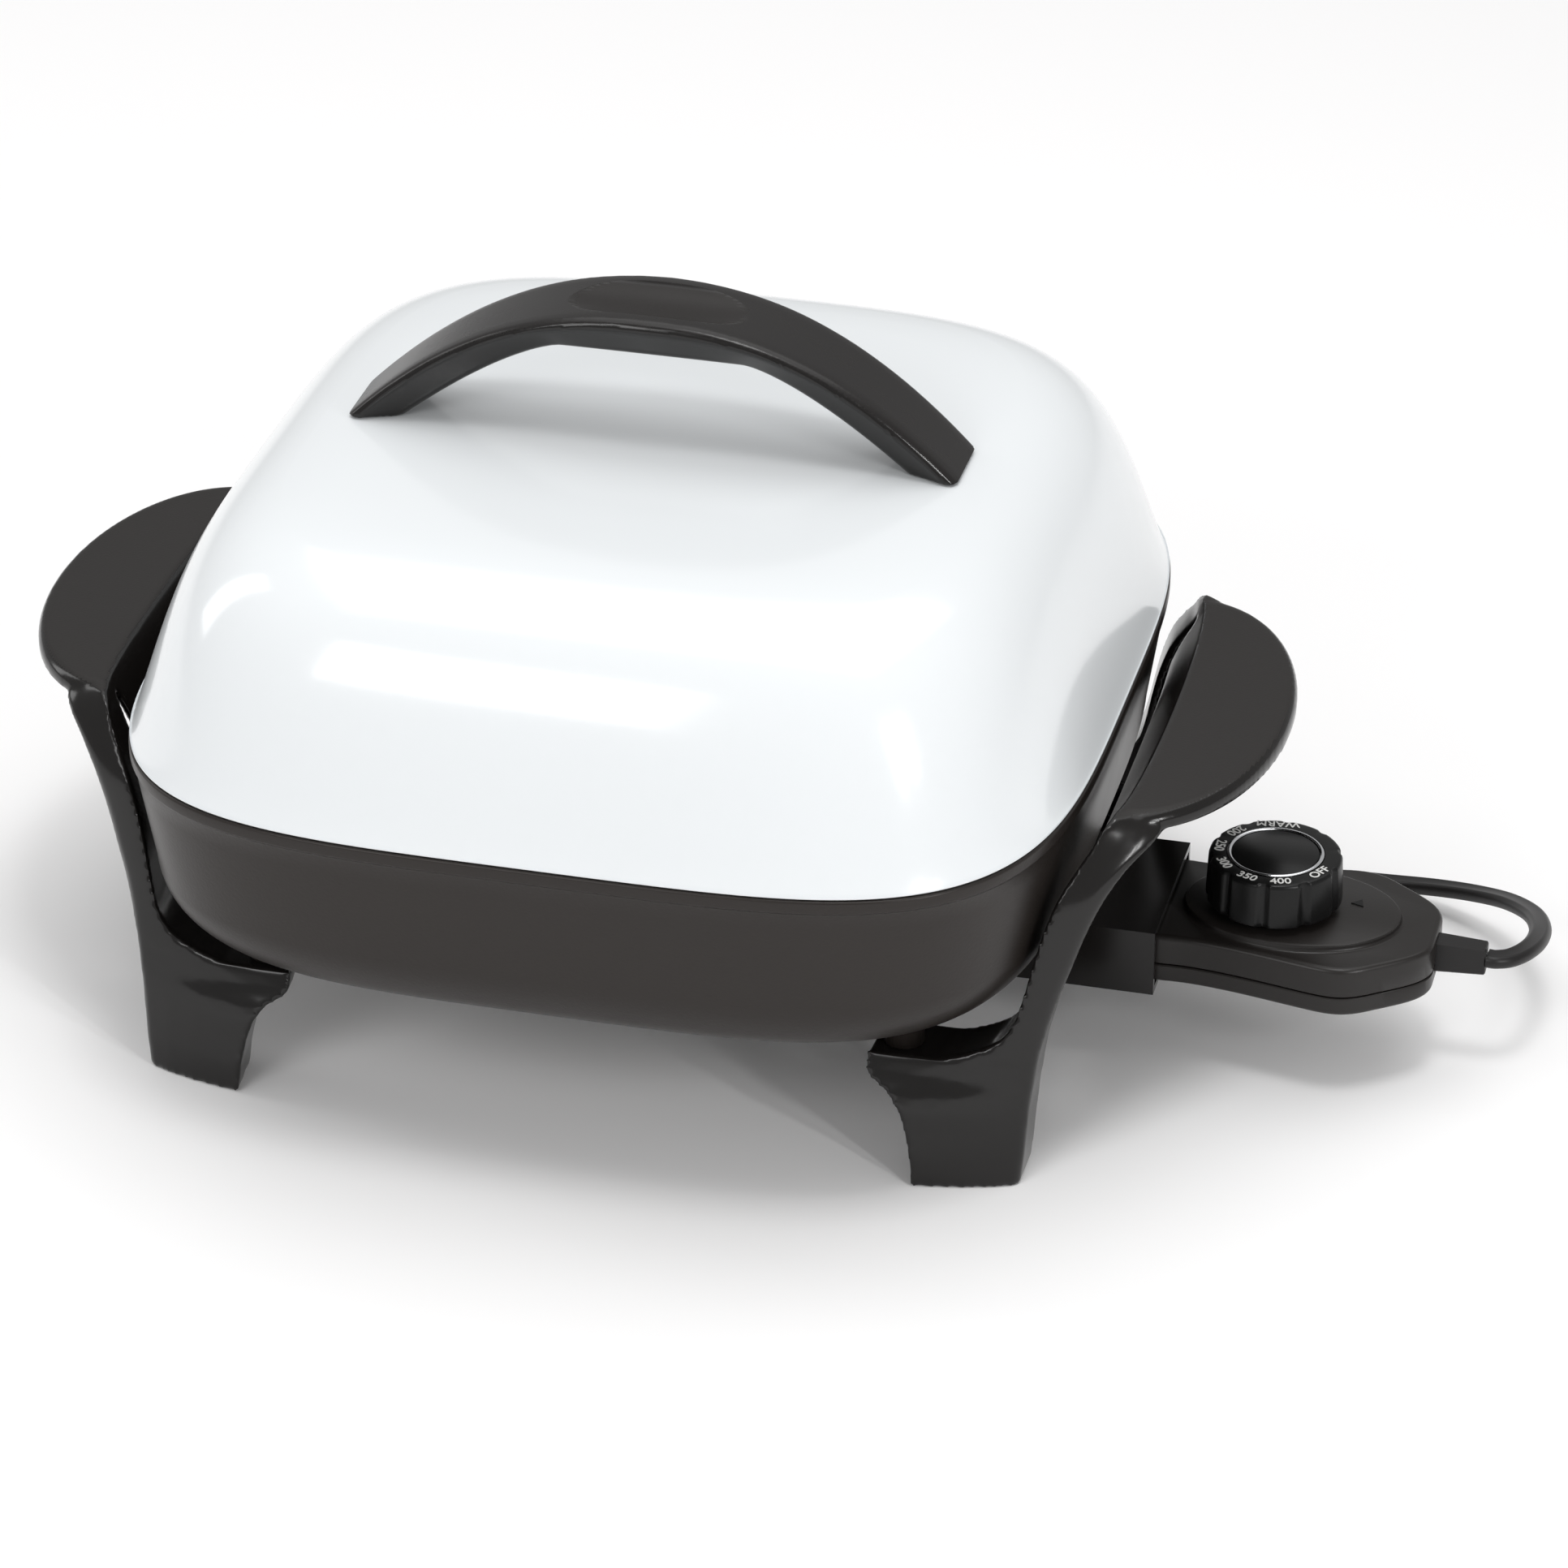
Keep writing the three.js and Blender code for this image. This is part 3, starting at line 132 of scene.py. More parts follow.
ENAMEL = material("white_enamel", (0.79, 0.815, 0.83), 0.14, coat=0.4, patches=(9, 0.13, 0.18))
NONSTICK = material(
    "nonstick", (0.022, 0.018, 0.016), 0.36, metallic=0.2, bump=(900, 0.25, 0.0002),
    patches=(30, 0.3, 0.4), specular=0.35,
)
PHENOLIC = material("phenolic_gloss", (0.008, 0.007, 0.0065), 0.16, patches=(60, 0.14, 0.2), specular=0.4)
PHENOLIC_SATIN = material(
    "phenolic_satin", (0.011, 0.0095, 0.009), 0.27, patches=(50, 0.24, 0.3), specular=0.4
)
PHENOLIC_TOP = material(
    "phenolic_matte", (0.014, 0.012, 0.011), 0.42, bump=(1400, 0.3, 0.0001),
    patches=(40, 0.38, 0.48), specular=0.3,
)
CONTROL = material("control_black", (0.014, 0.012, 0.011), 0.34, bump=(1200, 0.15, 0.0001), specular=0.35)
DIAL = material("dial_black", (0.006, 0.006, 0.006), 0.3, specular=0.25)
PRINT = material("dial_print", (0.8, 0.8, 0.78), 0.5)
CHROME = material("bright_trim", (0.82, 0.83, 0.85), 0.14, metallic=1.0)
STEEL = material("plated_steel", (0.6, 0.6, 0.61), 0.3, metallic=1.0, patches=(80, 0.25, 0.38))
SHEATH = material("element_sheath", (0.2, 0.18, 0.165), 0.5, metallic=0.9, patches=(60, 0.42, 0.6))
BRASS = material("brass", (0.7, 0.5, 0.22), 0.3, metallic=1.0, patches=(80, 0.24, 0.36))
CERAMIC = material("ceramic", (0.72, 0.68, 0.6), 0.7, bump=(600, 0.2, 0.0002))
CORD_RUBBER = material("cord_vinyl", (0.009, 0.008, 0.008), 0.4, bump=(700, 0.1, 0.0001), specular=0.35)
STRAP = material("strap", (0.02, 0.02, 0.02), 0.6, bump=(500, 0.4, 0.0003))
SLOTS = {
    "nonstick": NONSTICK, "enamel": ENAMEL, "phenolic": PHENOLIC, "control_plastic": CONTROL,
    "dial_plastic": DIAL, "chrome": CHROME, "steel": STEEL, "sheath": SHEATH, "brass": BRASS,
    "ceramic": CERAMIC, "cord_rubber": CORD_RUBBER, "tie": STRAP,
}


# ---- Meshes --------------------------------------------------------------------------------------


def mesh_object(name, points, faces, finish):
    """A new object from points in millimetres about the pan's middle."""
    mesh = bpy.data.meshes.new(name)
    moved = (np.asarray(points, float) + [PAN_X, 0, 0]) * MM
    mesh.from_pydata([tuple(p) for p in moved], [], faces)
    mesh.materials.append(finish)
    made = bpy.data.objects.new(name, mesh)
    bpy.context.collection.objects.link(made)
    return made


def loft(name, rings, finish, closed=False):
    """A skin over rings of equal count, with a flat face at both ends unless it is closed, when the
    last ring joins the first."""
    count, total = len(rings[0]), len(rings)
    faces = []
    for k in range(total if closed else total - 1):
        a, b = k * count, (k + 1) % total * count
        faces += [(a + i, a + (i + 1) % count, b + (i + 1) % count, b + i) for i in range(count)]
    if not closed:
        faces.append(tuple(reversed(range(count))))
        faces.append(tuple(range((total - 1) * count, total * count)))
    made = mesh_object(name, np.concatenate(rings), faces, finish)
    outward(made)
    return made


def outward(obj):
    work = bmesh.new()
    work.from_mesh(obj.data)
    bmesh.ops.recalc_face_normals(work, faces=work.faces)
    work.to_mesh(obj.data)
    work.free()


def lathe(name, profile, centre, finish, steps=96, along="z"):
    """A profile of (radius, distance) turned about Z or X through centre, with flat ends."""
    x, y, z = centre
    rings = []
    for radius, far in profile:
        turn = np.arange(steps) * 2 * np.pi / steps
        u, v, w = radius * np.cos(turn), radius * np.sin(turn), np.full(steps, float(far))
        rings.append(np.stack([x + u, y + v, z + w] if along == "z" else [x + w, y + u, z + v], axis=1))
    return loft(name, rings, finish)


def apply_modifiers(obj):
    ready = bpy.context.evaluated_depsgraph_get()
    mesh = bpy.data.meshes.new_from_object(obj.evaluated_get(ready))
    obj.modifiers.clear()
    obj.data = mesh


def combine(obj, operation, *others):
    """Joins others to obj, or cuts them from it, and deletes them."""
    for other in others:
        step = obj.modifiers.new("combine", "BOOLEAN")
        step.operation, step.solver, step.object = operation, "EXACT", other
        apply_modifiers(obj)
        bpy.data.objects.remove(other)
    return obj


def moulded(obj, voxel, rounds, finish):
    """Remeshes obj and rounds its edges as a moulding's are."""
    step = obj.modifiers.new("remesh", "REMESH")
    step.mode, step.voxel_size = "VOXEL", voxel * MM
    apply_modifiers(obj)
    step = obj.modifiers.new("soften", "SMOOTH")
    step.factor, step.iterations = 0.5, rounds
    apply_modifiers(obj)
    obj.data.materials.clear()
    obj.data.materials.append(finish)
    return obj


def shade(obj, degrees=35):
    obj.data.polygons.foreach_set("use_smooth", [True] * len(obj.data.polygons))
    if degrees < 180:
        obj.data.set_sharp_from_angle(angle=math.radians(degrees))
    return obj


HOLE_STEPS = 40


def block(low, high):
    """A box between two corners, for cutting."""
    corners = [(x, y, z) for z in (low[2], high[2]) for y in (low[1], high[1]) for x in (low[0], high[0])]
    faces = [(0, 2, 3, 1), (4, 5, 7, 6), (0, 1, 5, 4), (2, 6, 7, 3), (0, 4, 6, 2), (1, 3, 7, 5)]
    return mesh_object("cutter", corners, faces, PHENOLIC)


def bar(radius, x0, x1, y, z):
    """A cylinder along X, for cutting."""
    return lathe("cutter", [(radius, x0), (radius, x1)], (0, y, z), PHENOLIC, HOLE_STEPS, "x")


def post(radius, x, y, z0, z1):
    """A cylinder along Z, for cutting."""
    return lathe("cutter", [(radius, z0), (radius, z1)], (x, y, 0), PHENOLIC, HOLE_STEPS)


def cad_copy(node):
    """A separate welded copy of a CAD node's mesh."""
    mesh = frame["nodes"][node].data.copy()
    work = bmesh.new()
    work.from_mesh(mesh)
    bmesh.ops.remove_doubles(work, verts=work.verts, dist=1e-6)
    work.to_mesh(mesh)
    work.free()
    made = bpy.data.objects.new("copy", mesh)
    bpy.context.collection.objects.link(made)
    return made


def finished(obj, body, slot, *nodes):
    """Puts a piece on its body, in place of its CAD nodes. slot is not used."""
    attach(obj, body)
    if nodes:
        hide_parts(*nodes)
    return obj


# ---- Cord ----------------------------------------------------------------------------------------

CORD_WIDTH = 7.0
CORD_HEIGHT = 4.4
LEAD_WAIST, LEAD_WAIST_SPREAD = 0.16, 3.2  # how deep and how narrow the groove between the cores is
CORD_EXIT = (256.8, 0, 37)
CORD_ROUTE = [
    CORD_EXIT, (259.4, 0, 37), (263.4, 2.8, 36.5), (267, 10, 35.2), (268.9, 21, 32.6), (268.2, 35, 28.8),
    (263.8, 51, 23.8), (255, 66, 18.2), (243.5, 77.5, 12.8), (229.5, 85.5, 8.4), (214, 90, 5.2),
    (197, 91.2, 3.8), (180, 88, 3.8), (163, 81, 3.8), (146, 73, 3.8), (128, 67, 3.8), (108, 64, 3.8),
    (89, 64, 3.8), (70, 64, 3.8), (50, 67, 3.8), (30, 75, 3.8), (15, 89, 3.8), (6, 107, 3.8),
    (2.6, 128, 3.8), (2, 148, 3.9), (2, 166.7, 3.9),
]
COIL_CENTRE = (-36.5, 192)
COIL_TURN = 77
COIL_TURNS = 2.25
COIL_LOW, COIL_PITCH = 3.9, 4.4
PLUG_NECK = (-62.5, 230.5, 9.6)


def smooth_path(points, steps):
    """Points along a curve through all of points, evenly shared between them."""
    points = np.asarray(points, float)
    padded = np.vstack([2 * points[0] - points[1], points, 2 * points[-1] - points[-2]])
    path = []
    for a, b, c, d in zip(padded, padded[1:], padded[2:], padded[3:]):
        for t in np.arange(steps) / steps:
            square, cube = 2 * a - 5 * b + 4 * c - d, 3 * b - a - 3 * c + d
            path.append(0.5 * (2 * b + (c - a) * t + square * t**2 + cube * t**3))
    return np.array(path + [points[-1]])


def cord_path():
    lead = smooth_path(CORD_ROUTE, 6)
    turn = np.linspace(0, 2 * np.pi * COIL_TURNS, int(48 * COIL_TURNS) + 1)
    x = COIL_CENTRE[0] + COIL_TURN / 2 * np.cos(turn)
    y = COIL_CENTRE[1] + COIL_TURN / 2 * np.sin(turn)
    coil = np.stack([x, y, COIL_LOW + COIL_PITCH * turn / (2 * np.pi)], axis=1)
    neck = np.array(PLUG_NECK)
    tail = smooth_path([coil[-2], coil[-1], neck + [14, 0, 3], neck + [6, 0, 1], neck], 4)[5:]
    join = np.linspace(lead[-1], coil[0], 6)[1:-1]
    return np.vstack([lead, join, coil, tail])


def lead_section(steps=28):
    """The outline of two round cores side by side, as (across, up)."""
    core = CORD_HEIGHT / 2
    apart = CORD_WIDTH / 2 - core
    outline = []
    for i in range(steps):
        angle = 2 * math.pi * (i + 0.5) / steps
        across, up = math.cos(angle), math.sin(angle)
        middle = math.copysign(apart, across)
        waist = LEAD_WAIST * max(0, 1 - abs(across) * LEAD_WAIST_SPREAD)
        outline.append((middle + core * across, core * up * (1 - waist)))
    return outline


def make_cord():
    path = cord_path()
    ahead = np.gradient(path, axis=0)
    ahead /= np.linalg.norm(ahead, axis=1)[:, None]
    across = np.cross(ahead, [0, 0, 1.0])
    across /= np.linalg.norm(across, axis=1)[:, None]
    up = np.cross(across, ahead)
    rings = [
        np.array([p + a * s + b * t for s, t in lead_section()]) for p, a, b in zip(path, across, up)
    ]
    cord = shade(loft("mains_lead", rings, CORD_RUBBER), 60)
    finished(cord, "heat_control", "cord_rubber", "cord", "cord_coil")


make_cord()


# ---- Square outlines -----------------------------------------------------------------------------

OUTLINE_POWER = 4
OUTLINE_STEPS = 224


def square_ring(half, z):
    """The rounded-square outline of pan and lid at one height."""
    turn = 2 * np.pi * (np.arange(OUTLINE_STEPS) + 0.5) / OUTLINE_STEPS
    c, s = np.cos(turn), np.sin(turn)
    bend = 2 / OUTLINE_POWER
    x, y = half * np.sign(c) * np.abs(c) ** bend, half * np.sign(s) * np.abs(s) ** bend
    return np.stack([x, y, np.full(OUTLINE_STEPS, float(z))], axis=1)


def arc(centre, radius, start, end, steps):
    """(half width, height) points on an arc, with angles in degrees from +half width."""
    turn = np.radians(np.linspace(start, end, steps))
    return [(centre[0] + radius * np.cos(t), centre[1] + radius * np.sin(t)) for t in turn]


# ---- Pan -----------------------------------------------------------------------------------------

PAN_HALF = 145
PAN_RIM_Z = 112.6
PAN_BOTTOM_Z = 50.5
PAN_WALL = 3.4
PAN_BASE = 5
PAN_CORNER = 25
RIM_BAND = 5
WALL_TOP_HALF = 143.8  # outside of the wall under the rim band
WALL_FOOT_HALF = 139.4  # outside of the wall above the bottom radius


def make_pan():
    foot = (WALL_FOOT_HALF - PAN_CORNER, PAN_BOTTOM_Z + PAN_CORNER)
    band_low = PAN_RIM_Z - RIM_BAND
    outer = [(20, PAN_BOTTOM_Z), (70, PAN_BOTTOM_Z)] + arc(foot, PAN_CORNER, -90, -1, 18)
    outer += [(WALL_TOP_HALF - 0.5, band_low - 6), (WALL_TOP_HALF - 0.05, band_low - 0.5)]
    outer += [(WALL_TOP_HALF + 0.35, band_low + 0.2)]
    outer += arc((PAN_HALF - 0.7, band_low + 1.4), 0.7, -60, 0, 4)
    outer += arc((PAN_HALF - 0.9, PAN_RIM_Z - 0.9), 0.9, 0, 90, 6)
    inner_top = WALL_TOP_HALF - PAN_WALL
    outer += arc((inner_top + 0.8, PAN_RIM_Z - 0.8), 0.8, 90, 180, 5)
    inside = (foot[0], PAN_BOTTOM_Z + PAN_BASE + PAN_CORNER - PAN_WALL)
    outer += arc(inside, PAN_CORNER - PAN_WALL, -1, -90, 16)
    outer += [(70, PAN_BOTTOM_Z + PAN_BASE), (20, PAN_BOTTOM_Z + PAN_BASE)]
    pan = loft("skillet_pan", [square_ring(half, z) for half, z in outer], NONSTICK)
    under = combine(cad_copy("pan"), "INTERSECT", block((-118, -118, 20), (118, 118, PAN_BOTTOM_Z + 0.4)))
    combine(pan, "UNION", under)
    pan.data.materials.clear()
    pan.data.materials.append(NONSTICK)
    finished(shade(pan, 32), "base", "nonstick", "pan")


make_pan()


# ---- Lid -----------------------------------------------------------------------------------------

LID_FOOT_Z = PAN_RIM_Z + 0.3
LID_HEIGHT = 69.6
LID_WALL = 1.6
LID_FULLNESS = 10.8
LID_SHOULDER = 1.43
LID_LIP_HALF = WALL_TOP_HALF - PAN_WALL - 1.2
LID_LIP_DEPTH = 5
CROWN_Z = LID_FOOT_Z + LID_HEIGHT


def dome_levels(skin, first=0.9965):
    """(half width, height) up the dome, closer together round its shoulder."""
    shares = np.concatenate([
        np.linspace(first, 0.96, 14)[:-1], np.linspace(0.96, 0.7, 26)[:-1], np.linspace(0.7, 0.06, 12),
    ])
    rise = (1 - shares**LID_FULLNESS) ** LID_SHOULDER
    return [(s * PAN_HALF - skin, LID_FOOT_Z + r * LID_HEIGHT - skin) for s, r in zip(shares, rise)]


def make_lid():
    flange_top = LID_FOOT_Z + LID_WALL
    outer = [(LID_LIP_HALF - LID_WALL, PAN_RIM_Z - LID_LIP_DEPTH), (LID_LIP_HALF, PAN_RIM_Z - LID_LIP_DEPTH)]
    outer += [(LID_LIP_HALF, LID_FOOT_Z), (PAN_HALF - 1.1, LID_FOOT_Z)]
    outer += arc((PAN_HALF - 1.0, LID_FOOT_Z + 0.7), 0.7, -80, 20, 7)
    outer += dome_levels(0)
    under = [(half, z) for half, z in dome_levels(LID_WALL) if half < LID_LIP_HALF - LID_WALL - 0.6]
    outer += under[::-1]
    outer += [(LID_LIP_HALF - LID_WALL, flange_top + 2)]
    lid = loft("domed_lid", [square_ring(half, z) for half, z in outer], ENAMEL, closed=True)
    crown, ceiling = dome_levels(0)[-1], dome_levels(LID_WALL)[-1]
    plug = loft("crown", [square_ring(half + 0.5, z) for half, z in (ceiling, crown)], ENAMEL)
    combine(lid, "UNION", plug)
    lid.data.materials.clear()
    lid.data.materials.append(ENAMEL)
    finished(shade(lid, 40), "lid", "enamel", "lid_dome")


make_lid()

ARCH_HALF = 94
ARCH_FOOT = 80
ARCH_RISE = 43.5
ARCH_CLEAR = 29
ARCH_KINK_X = 28
ARCH_DROP = 43.5
ARCH_WIDTH = 36
ARCH_END_WIDTH = 28
ARCH_UNDER_WIDTH = 19
ARCH_TOP_POWER = 2.2  # how the top falls away towards the ends
ARCH_UNDER_POWER = 1.4  # how the underside falls away past its kink
ARCH_SINK = 2  # how far the feet run under the lid's top before they are cut to the lid
# The hollow for the thumb is cut by an ellipsoid whose middle is over the handle's top.
THUMB_LENGTH = 110
THUMB_WIDTH = 24.6
THUMB_DEPTH = 3.5
THUMB_RAISE = 1
HOLLOW_REACH, HOLLOW_HALF = 32, 13  # the part of the handle's top that the hollow lies in
HOLLOW_SHALLOW, HOLLOW_DEEP = 0.25, 4  # how far under the top its faces lie
SATIN_DEEP = 3


def arch_ring(travel):
    """A section across the lid's handle; travel runs from -1 at the left end to 1 at the right."""
    reach = abs(travel)
    top_x, under_x = travel * ARCH_HALF, travel * ARCH_FOOT
    top_z = CROWN_Z + ARCH_RISE - ARCH_DROP * reach**ARCH_TOP_POWER
    fall = max(0, (abs(under_x) - ARCH_KINK_X) / (ARCH_FOOT - ARCH_KINK_X)) ** ARCH_UNDER_POWER
    under_z = CROWN_Z + ARCH_CLEAR - (ARCH_CLEAR + ARCH_SINK) * fall
    top = (ARCH_WIDTH + (ARCH_END_WIDTH - ARCH_WIDTH) * reach) / 2
    under = ARCH_UNDER_WIDTH / 2
    right = [(0, 0), (top - 5, 0.0), (top - 2.2, 0.015), (top - 0.8, 0.07), (top, 0.2), (top - 0.7, 0.3)]
    right += [(under + 0.8, 0.86), (under, 0.94), (under - 1.2, 1), (0, 1)]
    outline = right + [(-y, t) for y, t in reversed(right[1:-1])]
    return np.array([
        (top_x + (under_x - top_x) * t, y, top_z + (under_z - top_z) * t) for y, t in outline
    ])


def hollow_matte(handle):
    """Gives the handle's top its satin and the thumb hollow its finer matte finish."""
    handle.data.materials.append(PHENOLIC_SATIN)
    handle.data.materials.append(PHENOLIC_TOP)
    for face in handle.data.polygons:
        x, y, z = face.center / MM
        x -= PAN_X
        depth = CROWN_Z + ARCH_RISE - ARCH_DROP * abs(x / ARCH_HALF) ** ARCH_TOP_POWER - z
        within = HOLLOW_SHALLOW < depth < HOLLOW_DEEP and abs(x) < HOLLOW_REACH and abs(y) < HOLLOW_HALF
        if within and face.normal.z > 0.8:
            face.material_index = 2
        elif face.normal.z > 0.55 and depth < SATIN_DEEP:
            face.material_index = 1


def make_lid_handle():
    handle = loft("lid_grip", [arch_ring(t) for t in np.linspace(-1, 1, 81)], PHENOLIC)
    bpy.ops.mesh.primitive_uv_sphere_add(segments=64, ring_count=32, radius=MM)
    thumb = bpy.context.object
    thumb.scale = (THUMB_LENGTH / 2, THUMB_WIDTH / 2, THUMB_DEPTH + THUMB_RAISE)
    thumb.location = at(0, 0, CROWN_Z + ARCH_RISE + THUMB_RAISE)
    bpy.context.view_layer.update()
    grown = [(PAN_HALF, LID_FOOT_Z - 2)] + dome_levels(-0.3)
    combine(handle, "DIFFERENCE", loft("cutter", [square_ring(half, z) for half, z in grown], PHENOLIC))
    moulded(handle, 0.7, 2, PHENOLIC)
    combine(handle, "DIFFERENCE", thumb)
    handle.data.materials.clear()
    handle.data.materials.append(PHENOLIC)
    hollow_matte(handle)
    finished(shade(handle, 40), "lid", "phenolic", "lid_handle")


def matte_tops(obj, least, low_z):
    """Gives the matte finish to faces that look up, above a height."""
    obj.data.materials.append(PHENOLIC_TOP)
    for face in obj.data.polygons:
        if face.normal.z > least and face.center.z > low_z * MM:
            face.material_index = 1


make_lid_handle()


# ---- Handles and legs ----------------------------------------------------------------------------

GRIP_X = 153.9
GRIP_REACH = 39.2
GRIP_HALF = 68.1
GRIP_BULGE = 5.3
GRIP_TOP_Z = 111.5
GRIP_LIP = 7
GRIP_PLATE = 4
GRIP_WALL = 3
APRON_BOTTOM_Z = 88
APRON_HALF = 62
SHELF_Z = 39.6
SHELF_SEAT_Z = 36
LEG_DEPTH = 18
LEG_WALL = 3.2
BOSS_X, BOSS_Y = 98, 92
SCREW_HOLE, HEAD_HOLE = 2.35, 4.15
PAN_ROOM = 0.8  # gap between the pan and the mouldings round it

# Height, then the inner and outer edges of the leg's front face, in plan.
LEG_LEVELS = [
    (0, (104.2, -109.2), (135.2, -101.4)), (9, (103.2, -108.6), (136, -100.9)),
    (17, (101.6, -107.4), (136.5, -100.2)), (24, (99.2, -106.8), (136.9, -99.5)),
    (29, (95.6, -105.6), (137.4, -98.8)), (32, (90.7, -104), (137.8, -98.4)),
    (34, (88.9, -103), (138, -98.1)), (39.6, (88.8, -101), (138.6, -97.3)),
    (39.8, (110, -100.4), (138.7, -97.2)), (42, (118, -99.6), (139, -96.8)),
    (46, (126.4, -98.2), (139.9, -95.8)), (52, (131, -96.8), (141.3, -94)),
    (60, (133.4, -95), (143.7, -91.4)), (70, (135.6, -92.6), (147, -88.8)),
    (80, (138, -90.4), (150.4, -86.2)), (90, (141.4, -87.6), (155, -82.8)),
    (98, (145.8, -82.8), (160.4, -78)), (104, (149.6, -78.2), (166.6, -71)),
    (108, (151.6, -75.4), (167.6, -66)), (111.1, (154, -71.6), (160, -67)),
]


def grip_ring(reach, half, bulge, z):
    """Plan outline of the crescent grip at one height."""
    out = np.radians(np.linspace(-90, 90, 73))
    back = np.radians(np.linspace(90, -90, 41)[1:-1])
    x = GRIP_X + np.concatenate([reach * np.cos(out), bulge * np.cos(back)])
    y = half * np.concatenate([np.sin(out), np.sin(back)])
    return np.stack([x, y, np.full(len(x), float(z))], axis=1)


def make_grip():
    def outline(grow, z):
        return grip_ring(GRIP_REACH + grow, GRIP_HALF + 2 * grow, GRIP_BULGE, z)

    body = loft("grip", [
        outline(-1, GRIP_TOP_Z - GRIP_LIP), outline(0.8, GRIP_TOP_Z - GRIP_LIP + 1.6),
        outline(0.8, GRIP_TOP_Z - 2.4), outline(0, GRIP_TOP_Z - 0.8), outline(-0.9, GRIP_TOP_Z),
    ], PHENOLIC)
    edge = (GRIP_REACH - GRIP_WALL - 1, GRIP_HALF - 9, GRIP_BULGE + GRIP_WALL)
    pocket = loft("cutter", [
        grip_ring(*edge, GRIP_TOP_Z - GRIP_LIP - 1), grip_ring(*edge, GRIP_TOP_Z - GRIP_PLATE),
    ], PHENOLIC)
    return combine(body, "DIFFERENCE", pocket)


def make_apron():
    """The wall that slopes from the grip's inner edge down to the side of the pan."""
    def ring(z):
        rise = (z - APRON_BOTTOM_Z) / (GRIP_TOP_Z - APRON_BOTTOM_Z)
        y = np.linspace(-APRON_HALF, APRON_HALF, 41)
        foot = PAN_HALF * (1 - np.abs(y / PAN_HALF) ** OUTLINE_POWER) ** (1 / OUTLINE_POWER) + 1.2
        head = GRIP_X + GRIP_BULGE * np.sqrt(1 - (y / GRIP_HALF) ** 2) - 0.2
        x = foot + (head - foot) * rise**1.3
        plan = np.concatenate([np.stack([x + GRIP_WALL, y], 1), np.stack([x, y], 1)[::-1]])
        return np.column_stack([plan, np.full(len(plan), float(z))])

    return loft("apron", [ring(z) for z in np.linspace(APRON_BOTTOM_Z, GRIP_TOP_Z - 0.6, 9)], PHENOLIC)


def leg_ring(level, inset, depth, end):
    z, inner, outer = level
    rise = max(0, (z - 86) / (GRIP_TOP_Z - 86))
    back = depth * (1 - 0.35 * rise)
    ax, ay, bx, by = inner[0] + inset, inner[1] + inset, outer[0] - inset, outer[1] + inset
    bow = 0.03 * (bx - ax)
    front = [(ax, ay)]
    for t in (0.25, 0.5, 0.75):
        front.append((ax + (bx - ax) * t, ay + (by - ay) * t - bow * math.sin(math.pi * t)))
    plan = front + [(bx - 1.6, by - 0.2), (bx, by + 1.6), (bx + 1.5 * rise, by + back), (ax + 2, ay + back)]
    return np.array([(x, -end * y, z) for x, y in plan])


def finer_levels():
    """LEG_LEVELS with smooth steps between them above the shelf."""
    low = [level for level in LEG_LEVELS if level[0] <= SHELF_Z + 0.2]
    high = np.array([(z, *inner, *outer) for z, inner, outer in LEG_LEVELS if z > SHELF_Z])
    curve = smooth_path(high, 4)[1:]
    return low + [(p[0], (p[1], p[2]), (p[3], p[4])) for p in curve]


def make_leg(end):
    """A leg of the right-hand moulding; end is -1 at the front and 1 at the rear."""
    def skin(levels, inset, depth):
        return loft("leg", [leg_ring(level, inset, depth, end) for level in levels], PHENOLIC)

    def hollow(low, high):
        return skin([lv for lv in LEG_LEVELS if low <= lv[0] <= high], LEG_WALL, LEG_DEPTH + 8)

    leg = skin(finer_levels(), 0, LEG_DEPTH)
    return combine(leg, "DIFFERENCE", hollow(9, 34), hollow(52, 98))


def mirror_x(obj):
    """Turns obj into its mirror image on the other side of the pan."""
    work = bmesh.new()
    work.from_mesh(obj.data)
    mirror = Matrix.Translation((2 * PAN_X * MM, 0, 0)) @ Matrix.Scale(-1, 4, (1, 0, 0))
    bmesh.ops.transform(work, matrix=mirror, verts=work.verts)
    bmesh.ops.reverse_faces(work, faces=work.faces)
    work.to_mesh(obj.data)
    work.free()


